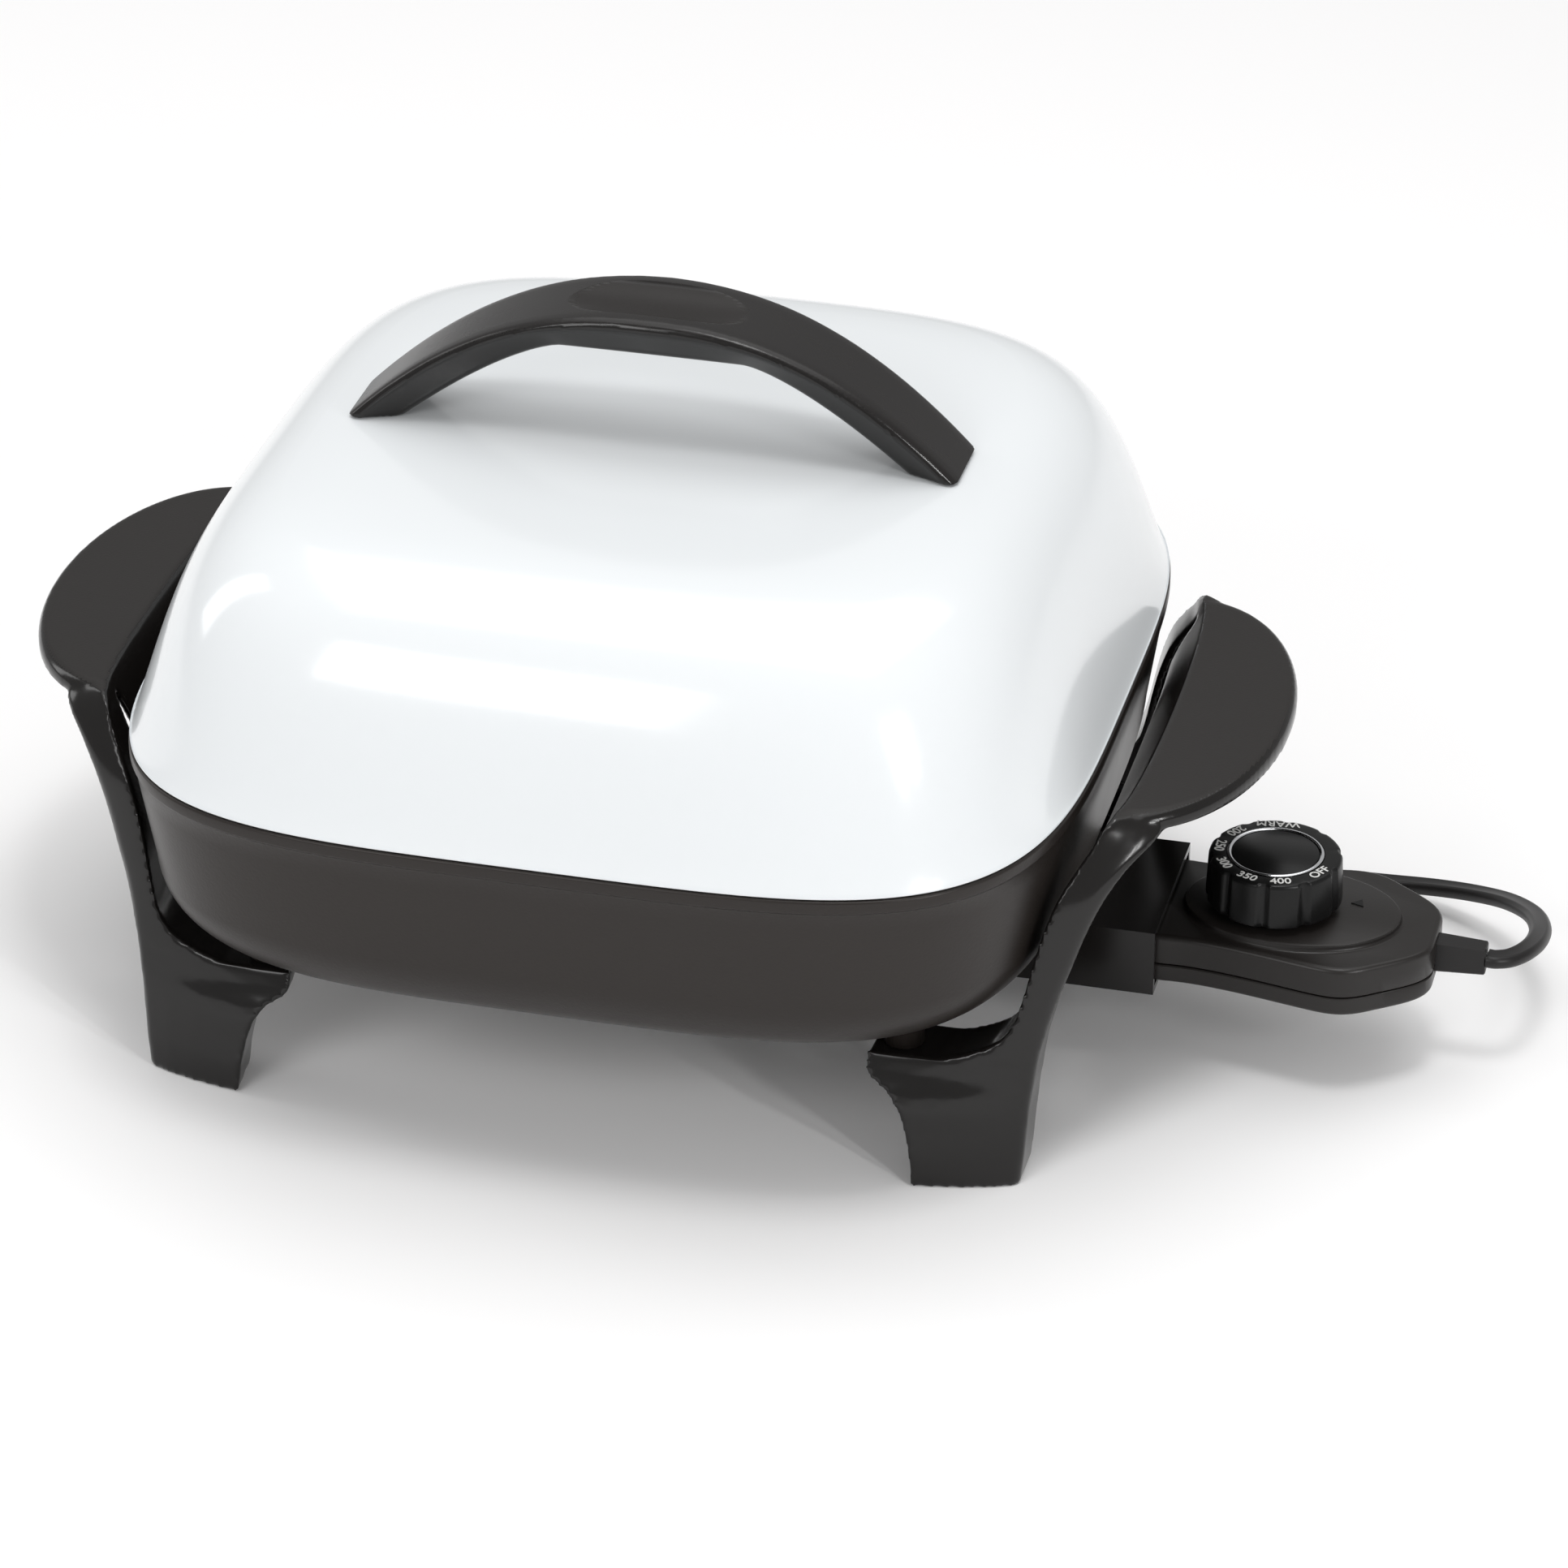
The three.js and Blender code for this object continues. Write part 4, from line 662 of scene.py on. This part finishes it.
def make_handles():
    moulding = combine(make_grip(), "UNION", make_apron(), make_leg(-1), make_leg(1))
    foot = (WALL_FOOT_HALF - PAN_CORNER, PAN_BOTTOM_Z + PAN_CORNER)
    room = [(PAN_HALF - PAN_CORNER - 25, PAN_BOTTOM_Z - PAN_ROOM)]
    room += arc(foot, PAN_CORNER + PAN_ROOM, -90, 0, 12)
    room += [(WALL_TOP_HALF + PAN_ROOM, PAN_RIM_Z - RIM_BAND - 1)]
    room += [(PAN_HALF + PAN_ROOM, PAN_RIM_Z - RIM_BAND), (PAN_HALF + PAN_ROOM, PAN_RIM_Z + 4)]
    combine(moulding, "DIFFERENCE", loft("cutter", [square_ring(half, z) for half, z in room], PHENOLIC))
    for y in (-BOSS_Y, BOSS_Y):
        combine(
            moulding, "DIFFERENCE", post(SCREW_HOLE, BOSS_X, y, SHELF_SEAT_Z - 1, SHELF_Z + 2),
            post(HEAD_HOLE, BOSS_X, y, 20, SHELF_SEAT_Z),
        )
    moulded(moulding, 0.9, 4, PHENOLIC)
    matte_tops(moulding, 0.9, GRIP_TOP_Z - 2.5)
    shade(moulding, 180)
    moulding.name = "right_handle"
    left = moulding.copy()
    left.data = moulding.data.copy()
    left.name = "left_handle"
    bpy.context.collection.objects.link(left)
    mirror_x(left)
    finished(moulding, "base", "phenolic", "handle_leg_right")
    finished(left, "base", "phenolic", "handle_leg_left")


make_handles()


# ---- Heat control --------------------------------------------------------------------------------

PLUG_Z = 37
PIN_Y = 11
PIN_ROOM, PROBE_ROOM = 3.0, 3.3
RELIEF_ROOM = (3.7, 5.5)  # half width and height of the opening for the strain relief
NOSE_X = 134
WAIST_X = 162
CONTROL_END_X = 241.5
CORNER_X = 216
CONTROL_END_HALF = 7.5
NOSE_HALF, WAIST_HALF, CONTROL_HALF = 24, 22.5, 30.5
CONTROL_BOTTOM_Z, CONTROL_SPLIT_Z, CONTROL_TOP_Z = 28.4, 34.6, 44.5
CONTROL_WALL = 2.2
PLATFORM_RISE = 2.4
PLATFORM_LENGTH, PLATFORM_HALF, PLATFORM_SHIFT = 66, 23, 6
# What the raised oval's outline grows by, and the height over the housing's top, from its foot up.
PLATFORM_LEVELS = [
    (1.2, -2), (1.2, -0.1), (0.5, 0.15), (0.15, 0.6), (0, 1.2), (0, 1.6), (-0.25, 2.1),
    (-0.9, PLATFORM_RISE),
]
HOUSING_SCREWS = [(168, -14), (168, 14), (226, 0)]
SPLIT_GAP = 0.22  # half the gap between the housing's halves
DIAL_X = 191
SPINDLE_ROOM = 3.5


def bezier(a, b, c, d, steps):
    t = np.linspace(0, 1, steps)[:, None]
    a, b, c, d = (np.array(p, float) for p in (a, b, c, d))
    return a * (1 - t) ** 3 + 3 * b * t * (1 - t) ** 2 + 3 * c * t**2 * (1 - t) + d * t**3


def control_ring(inset, z):
    """Plan outline of the heat control, set in by a wall thickness, at one height."""
    nose, waist, wide = NOSE_HALF - inset, WAIST_HALF - inset, CONTROL_HALF - inset
    start, end = NOSE_X + inset, CONTROL_END_X - inset
    neck, widest, corner = (WAIST_X, nose), (CORNER_X - 7, wide - 0.4), (CORNER_X + 9, wide - 4.3)
    flank = bezier(neck, (WAIST_X + 14, waist), (CORNER_X - 18, wide - 2.1), widest, 22)
    turn = bezier(widest, (CORNER_X - 1, wide + 0.5), (CORNER_X + 3, wide + 0.2), corner, 16)[1:]
    end_edge = (end, CONTROL_END_HALF)
    tip = bezier(corner, (CORNER_X + 18, wide - 11), (end, 2 * CONTROL_END_HALF), end_edge, 18)[1:]
    nose_edge = [(start, 0), (start, nose - 1), (start + 0.3, nose - 0.3), (start + 1, nose)]
    upper = np.vstack([nose_edge, flank, turn, tip, [(end, 0)]])
    lower = (upper[1:-1] * [1, -1])[::-1]
    plan = np.vstack([upper, lower])
    return np.column_stack([plan, np.full(len(plan), float(z))])


def rounded(z, radius, inset, direction, steps=7):
    """(inset, height) round an edge that ends at z, going up or down."""
    turn = np.linspace(0, np.pi / 2, steps)
    return [(inset + radius * (1 - math.cos(t)), z - direction * radius * (1 - math.sin(t))) for t in turn]


def control_cuts():
    """Cutters for the pins, the probe and the strain relief, which both halves share."""
    cuts = [bar(PIN_ROOM, NOSE_X - 2, NOSE_X + 6, side * PIN_Y, PLUG_Z) for side in (-1, 1)]
    cuts.append(bar(PROBE_ROOM, NOSE_X - 2, NOSE_X + 6, 0, PLUG_Z))
    half_y, half_z = RELIEF_ROOM
    low, high = (CONTROL_END_X - 6, -half_y, PLUG_Z - half_z), (CONTROL_END_X + 4, half_y, PLUG_Z + half_z)
    cuts.append(block(low, high))
    return cuts


def oval_ring(grow, z, steps=120):
    """Plan outline of the raised oval under the dial at one height."""
    turn = np.arange(steps) * 2 * np.pi / steps
    x = DIAL_X + PLATFORM_SHIFT + (PLATFORM_LENGTH / 2 + grow) * np.cos(turn)
    y = (PLATFORM_HALF + grow) * np.sin(turn)
    return np.column_stack([x, y, np.full(steps, float(z))])


def make_housing():
    split = CONTROL_SPLIT_Z + SPLIT_GAP
    levels = [(0.35, split), (0, split + 0.35), (0, 40)] + rounded(CONTROL_TOP_Z, 1.9, 0, 1)
    top = loft("control_top", [control_ring(inset, z) for inset, z in levels], CONTROL)
    platform = [oval_ring(grow, CONTROL_TOP_Z + rise) for grow, rise in PLATFORM_LEVELS]
    combine(top, "UNION", loft("platform", platform, CONTROL))
    heights = (CONTROL_SPLIT_Z - 3, CONTROL_TOP_Z - CONTROL_WALL)
    cavity = loft("cutter", [control_ring(CONTROL_WALL, z) for z in heights], CONTROL)
    spindle = post(SPINDLE_ROOM, DIAL_X, 0, CONTROL_SPLIT_Z, CONTROL_TOP_Z + 9)
    combine(top, "DIFFERENCE", cavity, spindle, *control_cuts())
    finished(shade(top, 38), "heat_control", "control_plastic", "control_housing_top")

    split = CONTROL_SPLIT_Z - SPLIT_GAP
    levels = rounded(CONTROL_BOTTOM_Z, 1.6, 0, -1)[::-1] + [(0, split - 0.35), (0.35, split)]
    bottom = loft("control_bottom", [control_ring(inset, z) for inset, z in levels], CONTROL)
    heights = (CONTROL_BOTTOM_Z + CONTROL_WALL, CONTROL_SPLIT_Z + 3)
    cavity = loft("cutter", [control_ring(CONTROL_WALL, z) for z in heights], CONTROL)
    wells = [post(HEAD_HOLE, x, y, CONTROL_BOTTOM_Z - 1, CONTROL_BOTTOM_Z + 3.4) for x, y in HOUSING_SCREWS]
    combine(bottom, "DIFFERENCE", cavity, *control_cuts(), *wells)
    finished(shade(bottom, 38), "heat_control", "control_plastic", "control_housing_bottom")


make_housing()

POINTER_X, POINTER_Y, POINTER_SIZE = 216.2, 5.7, 2.6


def make_pointer():
    """The small raised triangle on the housing that points at the dial."""
    low, high = CONTROL_TOP_Z + PLATFORM_RISE - 0.3, CONTROL_TOP_Z + PLATFORM_RISE + 0.3
    towards = math.atan2(-POINTER_Y, DIAL_X - POINTER_X)

    def ring(size, z):
        turns = [towards + 2 * math.pi * i / 3 for i in range(3)]
        plan = [(POINTER_X + size * math.cos(t), POINTER_Y + size * math.sin(t)) for t in turns]
        return np.array([(x, y, z) for x, y in plan])

    pointer = loft("pointer", [ring(POINTER_SIZE, low), ring(POINTER_SIZE - 0.3, high)], DIAL)
    finished(pointer, "heat_control", "dial_plastic")


make_pointer()


# ---- Dial ----------------------------------------------------------------------------------------

DIAL_RADIUS = 20.2
DIAL_BOTTOM_Z, DIAL_TOP_Z = 49.6, 64.4
DIAL_FLUTES = 10
FLUTE_DEPTH = 1.0
RING_OUTER, RING_INNER, RING_SINK = 14.6, 13.4, 1.8
MARKS = [
    ("OFF", -30), ("400", -75), ("350", -110), ("300", -145), ("250", -180), ("200", -215), ("WARM", -262),
]
MARK_RADIUS = 17.1
MARK_SIZE = 4.3
MARK_SPREAD = 0.05  # how much bolder than its font the print is
MARK_HALF_THICKNESS = 0.06
MARK_LIFT = 0.12


def dial_ring(radius, z, fluted, steps=360):
    """Plan outline of the knob at one height; fluted runs from 0, round, to 1, at full depth."""
    turn = np.arange(steps) * 2 * np.pi / steps
    wave = np.cos((turn - np.pi / DIAL_FLUTES) * DIAL_FLUTES)
    r = radius - fluted * FLUTE_DEPTH * np.clip((wave - 0.55) / 0.45, 0, 1) ** 1.3
    return np.column_stack([DIAL_X + r * np.cos(turn), r * np.sin(turn), np.full(steps, float(z))])


def make_dial():
    levels = [(RING_OUTER + 0.3, DIAL_TOP_Z - RING_SINK, 0), (RING_OUTER + 0.3, DIAL_TOP_Z, 0)]
    levels += [(DIAL_RADIUS - 1.5, DIAL_TOP_Z, 0.2), (DIAL_RADIUS - 0.75, DIAL_TOP_Z - 0.15, 0.6)]
    levels += [(DIAL_RADIUS - 0.25, DIAL_TOP_Z - 0.6, 1), (DIAL_RADIUS, DIAL_TOP_Z - 1.4, 1)]
    levels += [(DIAL_RADIUS + 0.5, DIAL_BOTTOM_Z + 1.6, 1), (DIAL_RADIUS + 0.4, DIAL_BOTTOM_Z + 0.4, 1)]
    levels += [(DIAL_RADIUS, DIAL_BOTTOM_Z, 1), (DIAL_RADIUS - 3, DIAL_BOTTOM_Z, 0)]
    levels += [(DIAL_RADIUS - 3, DIAL_BOTTOM_Z + 8, 0)]
    knob = loft("dial", [dial_ring(*level) for level in levels], DIAL)
    combine(knob, "DIFFERENCE", post(3.3, DIAL_X, 0, DIAL_BOTTOM_Z, DIAL_TOP_Z - 5.5))
    finished(shade(knob, 40), "dial", "dial_plastic", "dial_knob")

    low, high = DIAL_TOP_Z - RING_SINK + 0.3, DIAL_TOP_Z + 0.5
    trim = [(RING_INNER, low), (RING_OUTER, low), (RING_OUTER, high - 0.35), (RING_OUTER - 0.3, high - 0.05)]
    trim += [(RING_OUTER - 0.6, high), (RING_INNER + 0.3, high - 0.1), (RING_INNER, high - 0.4)]
    rings = [dial_ring(r, z, 0, 128) for r, z in trim]
    finished(shade(loft("dial_trim", rings, CHROME, closed=True), 40), "dial", "chrome", "dial_ring")

    cap = [(0.2, low), (RING_INNER - 0.3, low), (RING_INNER - 0.3, DIAL_TOP_Z)]
    cap += [(RING_INNER - 0.6, DIAL_TOP_Z + 0.2), (0.2, DIAL_TOP_Z + 0.2)]
    middle = lathe("dial_centre", cap, (DIAL_X, 0, 0), DIAL)
    finished(shade(middle, 40), "dial", "dial_plastic", "dial_cap")


def make_marks():
    """The dial's scale, as thin raised print that reads from outside the dial."""
    for word, degrees in MARKS:
        curve = bpy.data.curves.new("mark", "FONT")
        curve.body = word
        curve.size, curve.offset = MARK_SIZE * MM, MARK_SPREAD * MM
        curve.align_x, curve.align_y = "CENTER", "CENTER"
        curve.extrude = MARK_HALF_THICKNESS * MM
        text = bpy.data.objects.new("mark", curve)
        bpy.context.collection.objects.link(text)
        ready = bpy.context.evaluated_depsgraph_get()
        mesh = bpy.data.meshes.new_from_object(text.evaluated_get(ready))
        bpy.data.objects.remove(text)
        angle = math.radians(degrees)
        x, y = DIAL_X + MARK_RADIUS * math.cos(angle), MARK_RADIUS * math.sin(angle)
        spot = Matrix.Translation(at(x, y, DIAL_TOP_Z + MARK_LIFT))
        mesh.transform(spot @ Matrix.Rotation(angle + math.pi / 2, 4, "Z"))
        mesh.materials.clear()
        mesh.materials.append(PRINT)
        mark = bpy.data.objects.new(f"dial_mark_{word.lower()}", mesh)
        bpy.context.collection.objects.link(mark)
        finished(mark, "dial", "dial_plastic")


make_dial()
make_marks()


# ---- Strain relief -------------------------------------------------------------------------------

RELIEF_START_X, RELIEF_END_X = 236.5, 256.5
RELIEF_HALF_WIDTH, RELIEF_HALF_HEIGHT = 3.4, 5.2


def make_relief():
    """A rectangular boot that tapers a little towards the lead."""
    def ring(x, shrink):
        y, z, cut = RELIEF_HALF_WIDTH - 0.7 * shrink, RELIEF_HALF_HEIGHT - shrink, 0.6
        corners = [(-y, -z + cut), (-y, z - cut), (-y + cut, z), (y - cut, z), (y, z - cut), (y, -z + cut)]
        corners += [(y - cut, -z), (-y + cut, -z)]
        return np.array([(x, across, PLUG_Z + up) for across, up in corners])

    boot = loft("cord_boot", [
        ring(RELIEF_START_X, 0), ring(CONTROL_END_X, 0), ring(RELIEF_END_X - 0.4, 0.6), ring(RELIEF_END_X, 1),
    ], CORD_RUBBER)
    finished(shade(boot, 30), "heat_control", "cord_rubber", "strain_relief")


make_relief()


# ---- Pieces that keep their CAD shape ------------------------------------------------------------


SOFT_EDGES = {
    "probe_guard": 0.5, "plug_body": 0.7, "cord_tie": 0.4, "plug_blade_front": 0.2, "plug_blade_rear": 0.2,
}


def soften_edges(node, width, degrees=30):
    """Welds a CAD piece's facets and rounds its edges a little."""
    weld = node.modifiers.new("weld", "WELD")
    weld.merge_threshold = 1e-6
    bevel = node.modifiers.new("bevel", "BEVEL")
    bevel.width, bevel.segments, bevel.limit_method = width * MM, 2, "ANGLE"
    bevel.angle_limit = math.radians(degrees)
    bevel.harden_normals = False


def finish_cad_pieces():
    """Gives every CAD node its slot's finish, and a few that are seen a softer edge."""
    slots = {sub["node"]: sub["material_slot"] for sub in frame["record"]["subparts"]}
    for name, node in frame["nodes"].items():
        node.data.materials.clear()
        node.data.materials.append(SLOTS[slots[name]])
    for name, width in SOFT_EDGES.items():
        soften_edges(frame["nodes"][name], width)


finish_cad_pieces()


# ---- Studio --------------------------------------------------------------------------------------


LIGHT_TARGET = (0, 0, 0.1)
# Name, place, width and height, and power in watts.
LIGHTS = [
    ("top", (0, 0.4, 2.2), (2.6, 2.6), 26),
    ("key", (0.25, -0.35, 2.0), (0.4, 0.4), 7),
    ("front", (-0.75, -1.7, 1.2), (0.9, 0.7), 9),
    ("left", (-1.7, 0.2, 0.9), (0.4, 1.2), 4),
    ("strip", (1.15, -1.05, 0.75), (0.05, 0.5), 3.5),
    ("strip_2", (1.3, -0.9, 0.8), (0.04, 0.5), 3.5),
]
WORLD_STRENGTH = 0.42
FLOOR_HALF = 8
FLOOR_GAP = 0.0003  # how far the floor is under the feet


def light(name, place, size, power):
    """An area light that points at the object."""
    lamp = bpy.data.lights.new(name, "AREA")
    lamp.shape, lamp.size, lamp.size_y = "RECTANGLE", size[0], size[1]
    lamp.energy = power
    made = bpy.data.objects.new(name, lamp)
    made.location = place
    made.rotation_mode = "QUATERNION"
    made.rotation_quaternion = (Vector(LIGHT_TARGET) - Vector(place)).to_track_quat("-Z", "Y")
    bpy.context.collection.objects.link(made)


def make_studio():
    corners = [(x * FLOOR_HALF, y * FLOOR_HALF, -FLOOR_GAP) for x, y in ((-1, -1), (1, -1), (1, 1), (-1, 1))]
    mesh = bpy.data.meshes.new("floor")
    mesh.from_pydata(corners, [], [(0, 1, 2, 3)])
    mesh.materials.append(material("floor_white", (0.96, 0.955, 0.955), 0.7, specular=0.1))
    floor = bpy.data.objects.new("floor", mesh)
    bpy.context.collection.objects.link(floor)

    world = bpy.data.worlds.new("studio")
    world.use_nodes = True
    background = world.node_tree.nodes["Background"]
    background.inputs["Color"].default_value = (1, 1, 1, 1)
    background.inputs["Strength"].default_value = WORLD_STRENGTH
    bpy.context.scene.world = world
    bpy.context.scene.view_settings.view_transform = "Standard"
    for lamp in LIGHTS:
        light(*lamp)


make_studio()
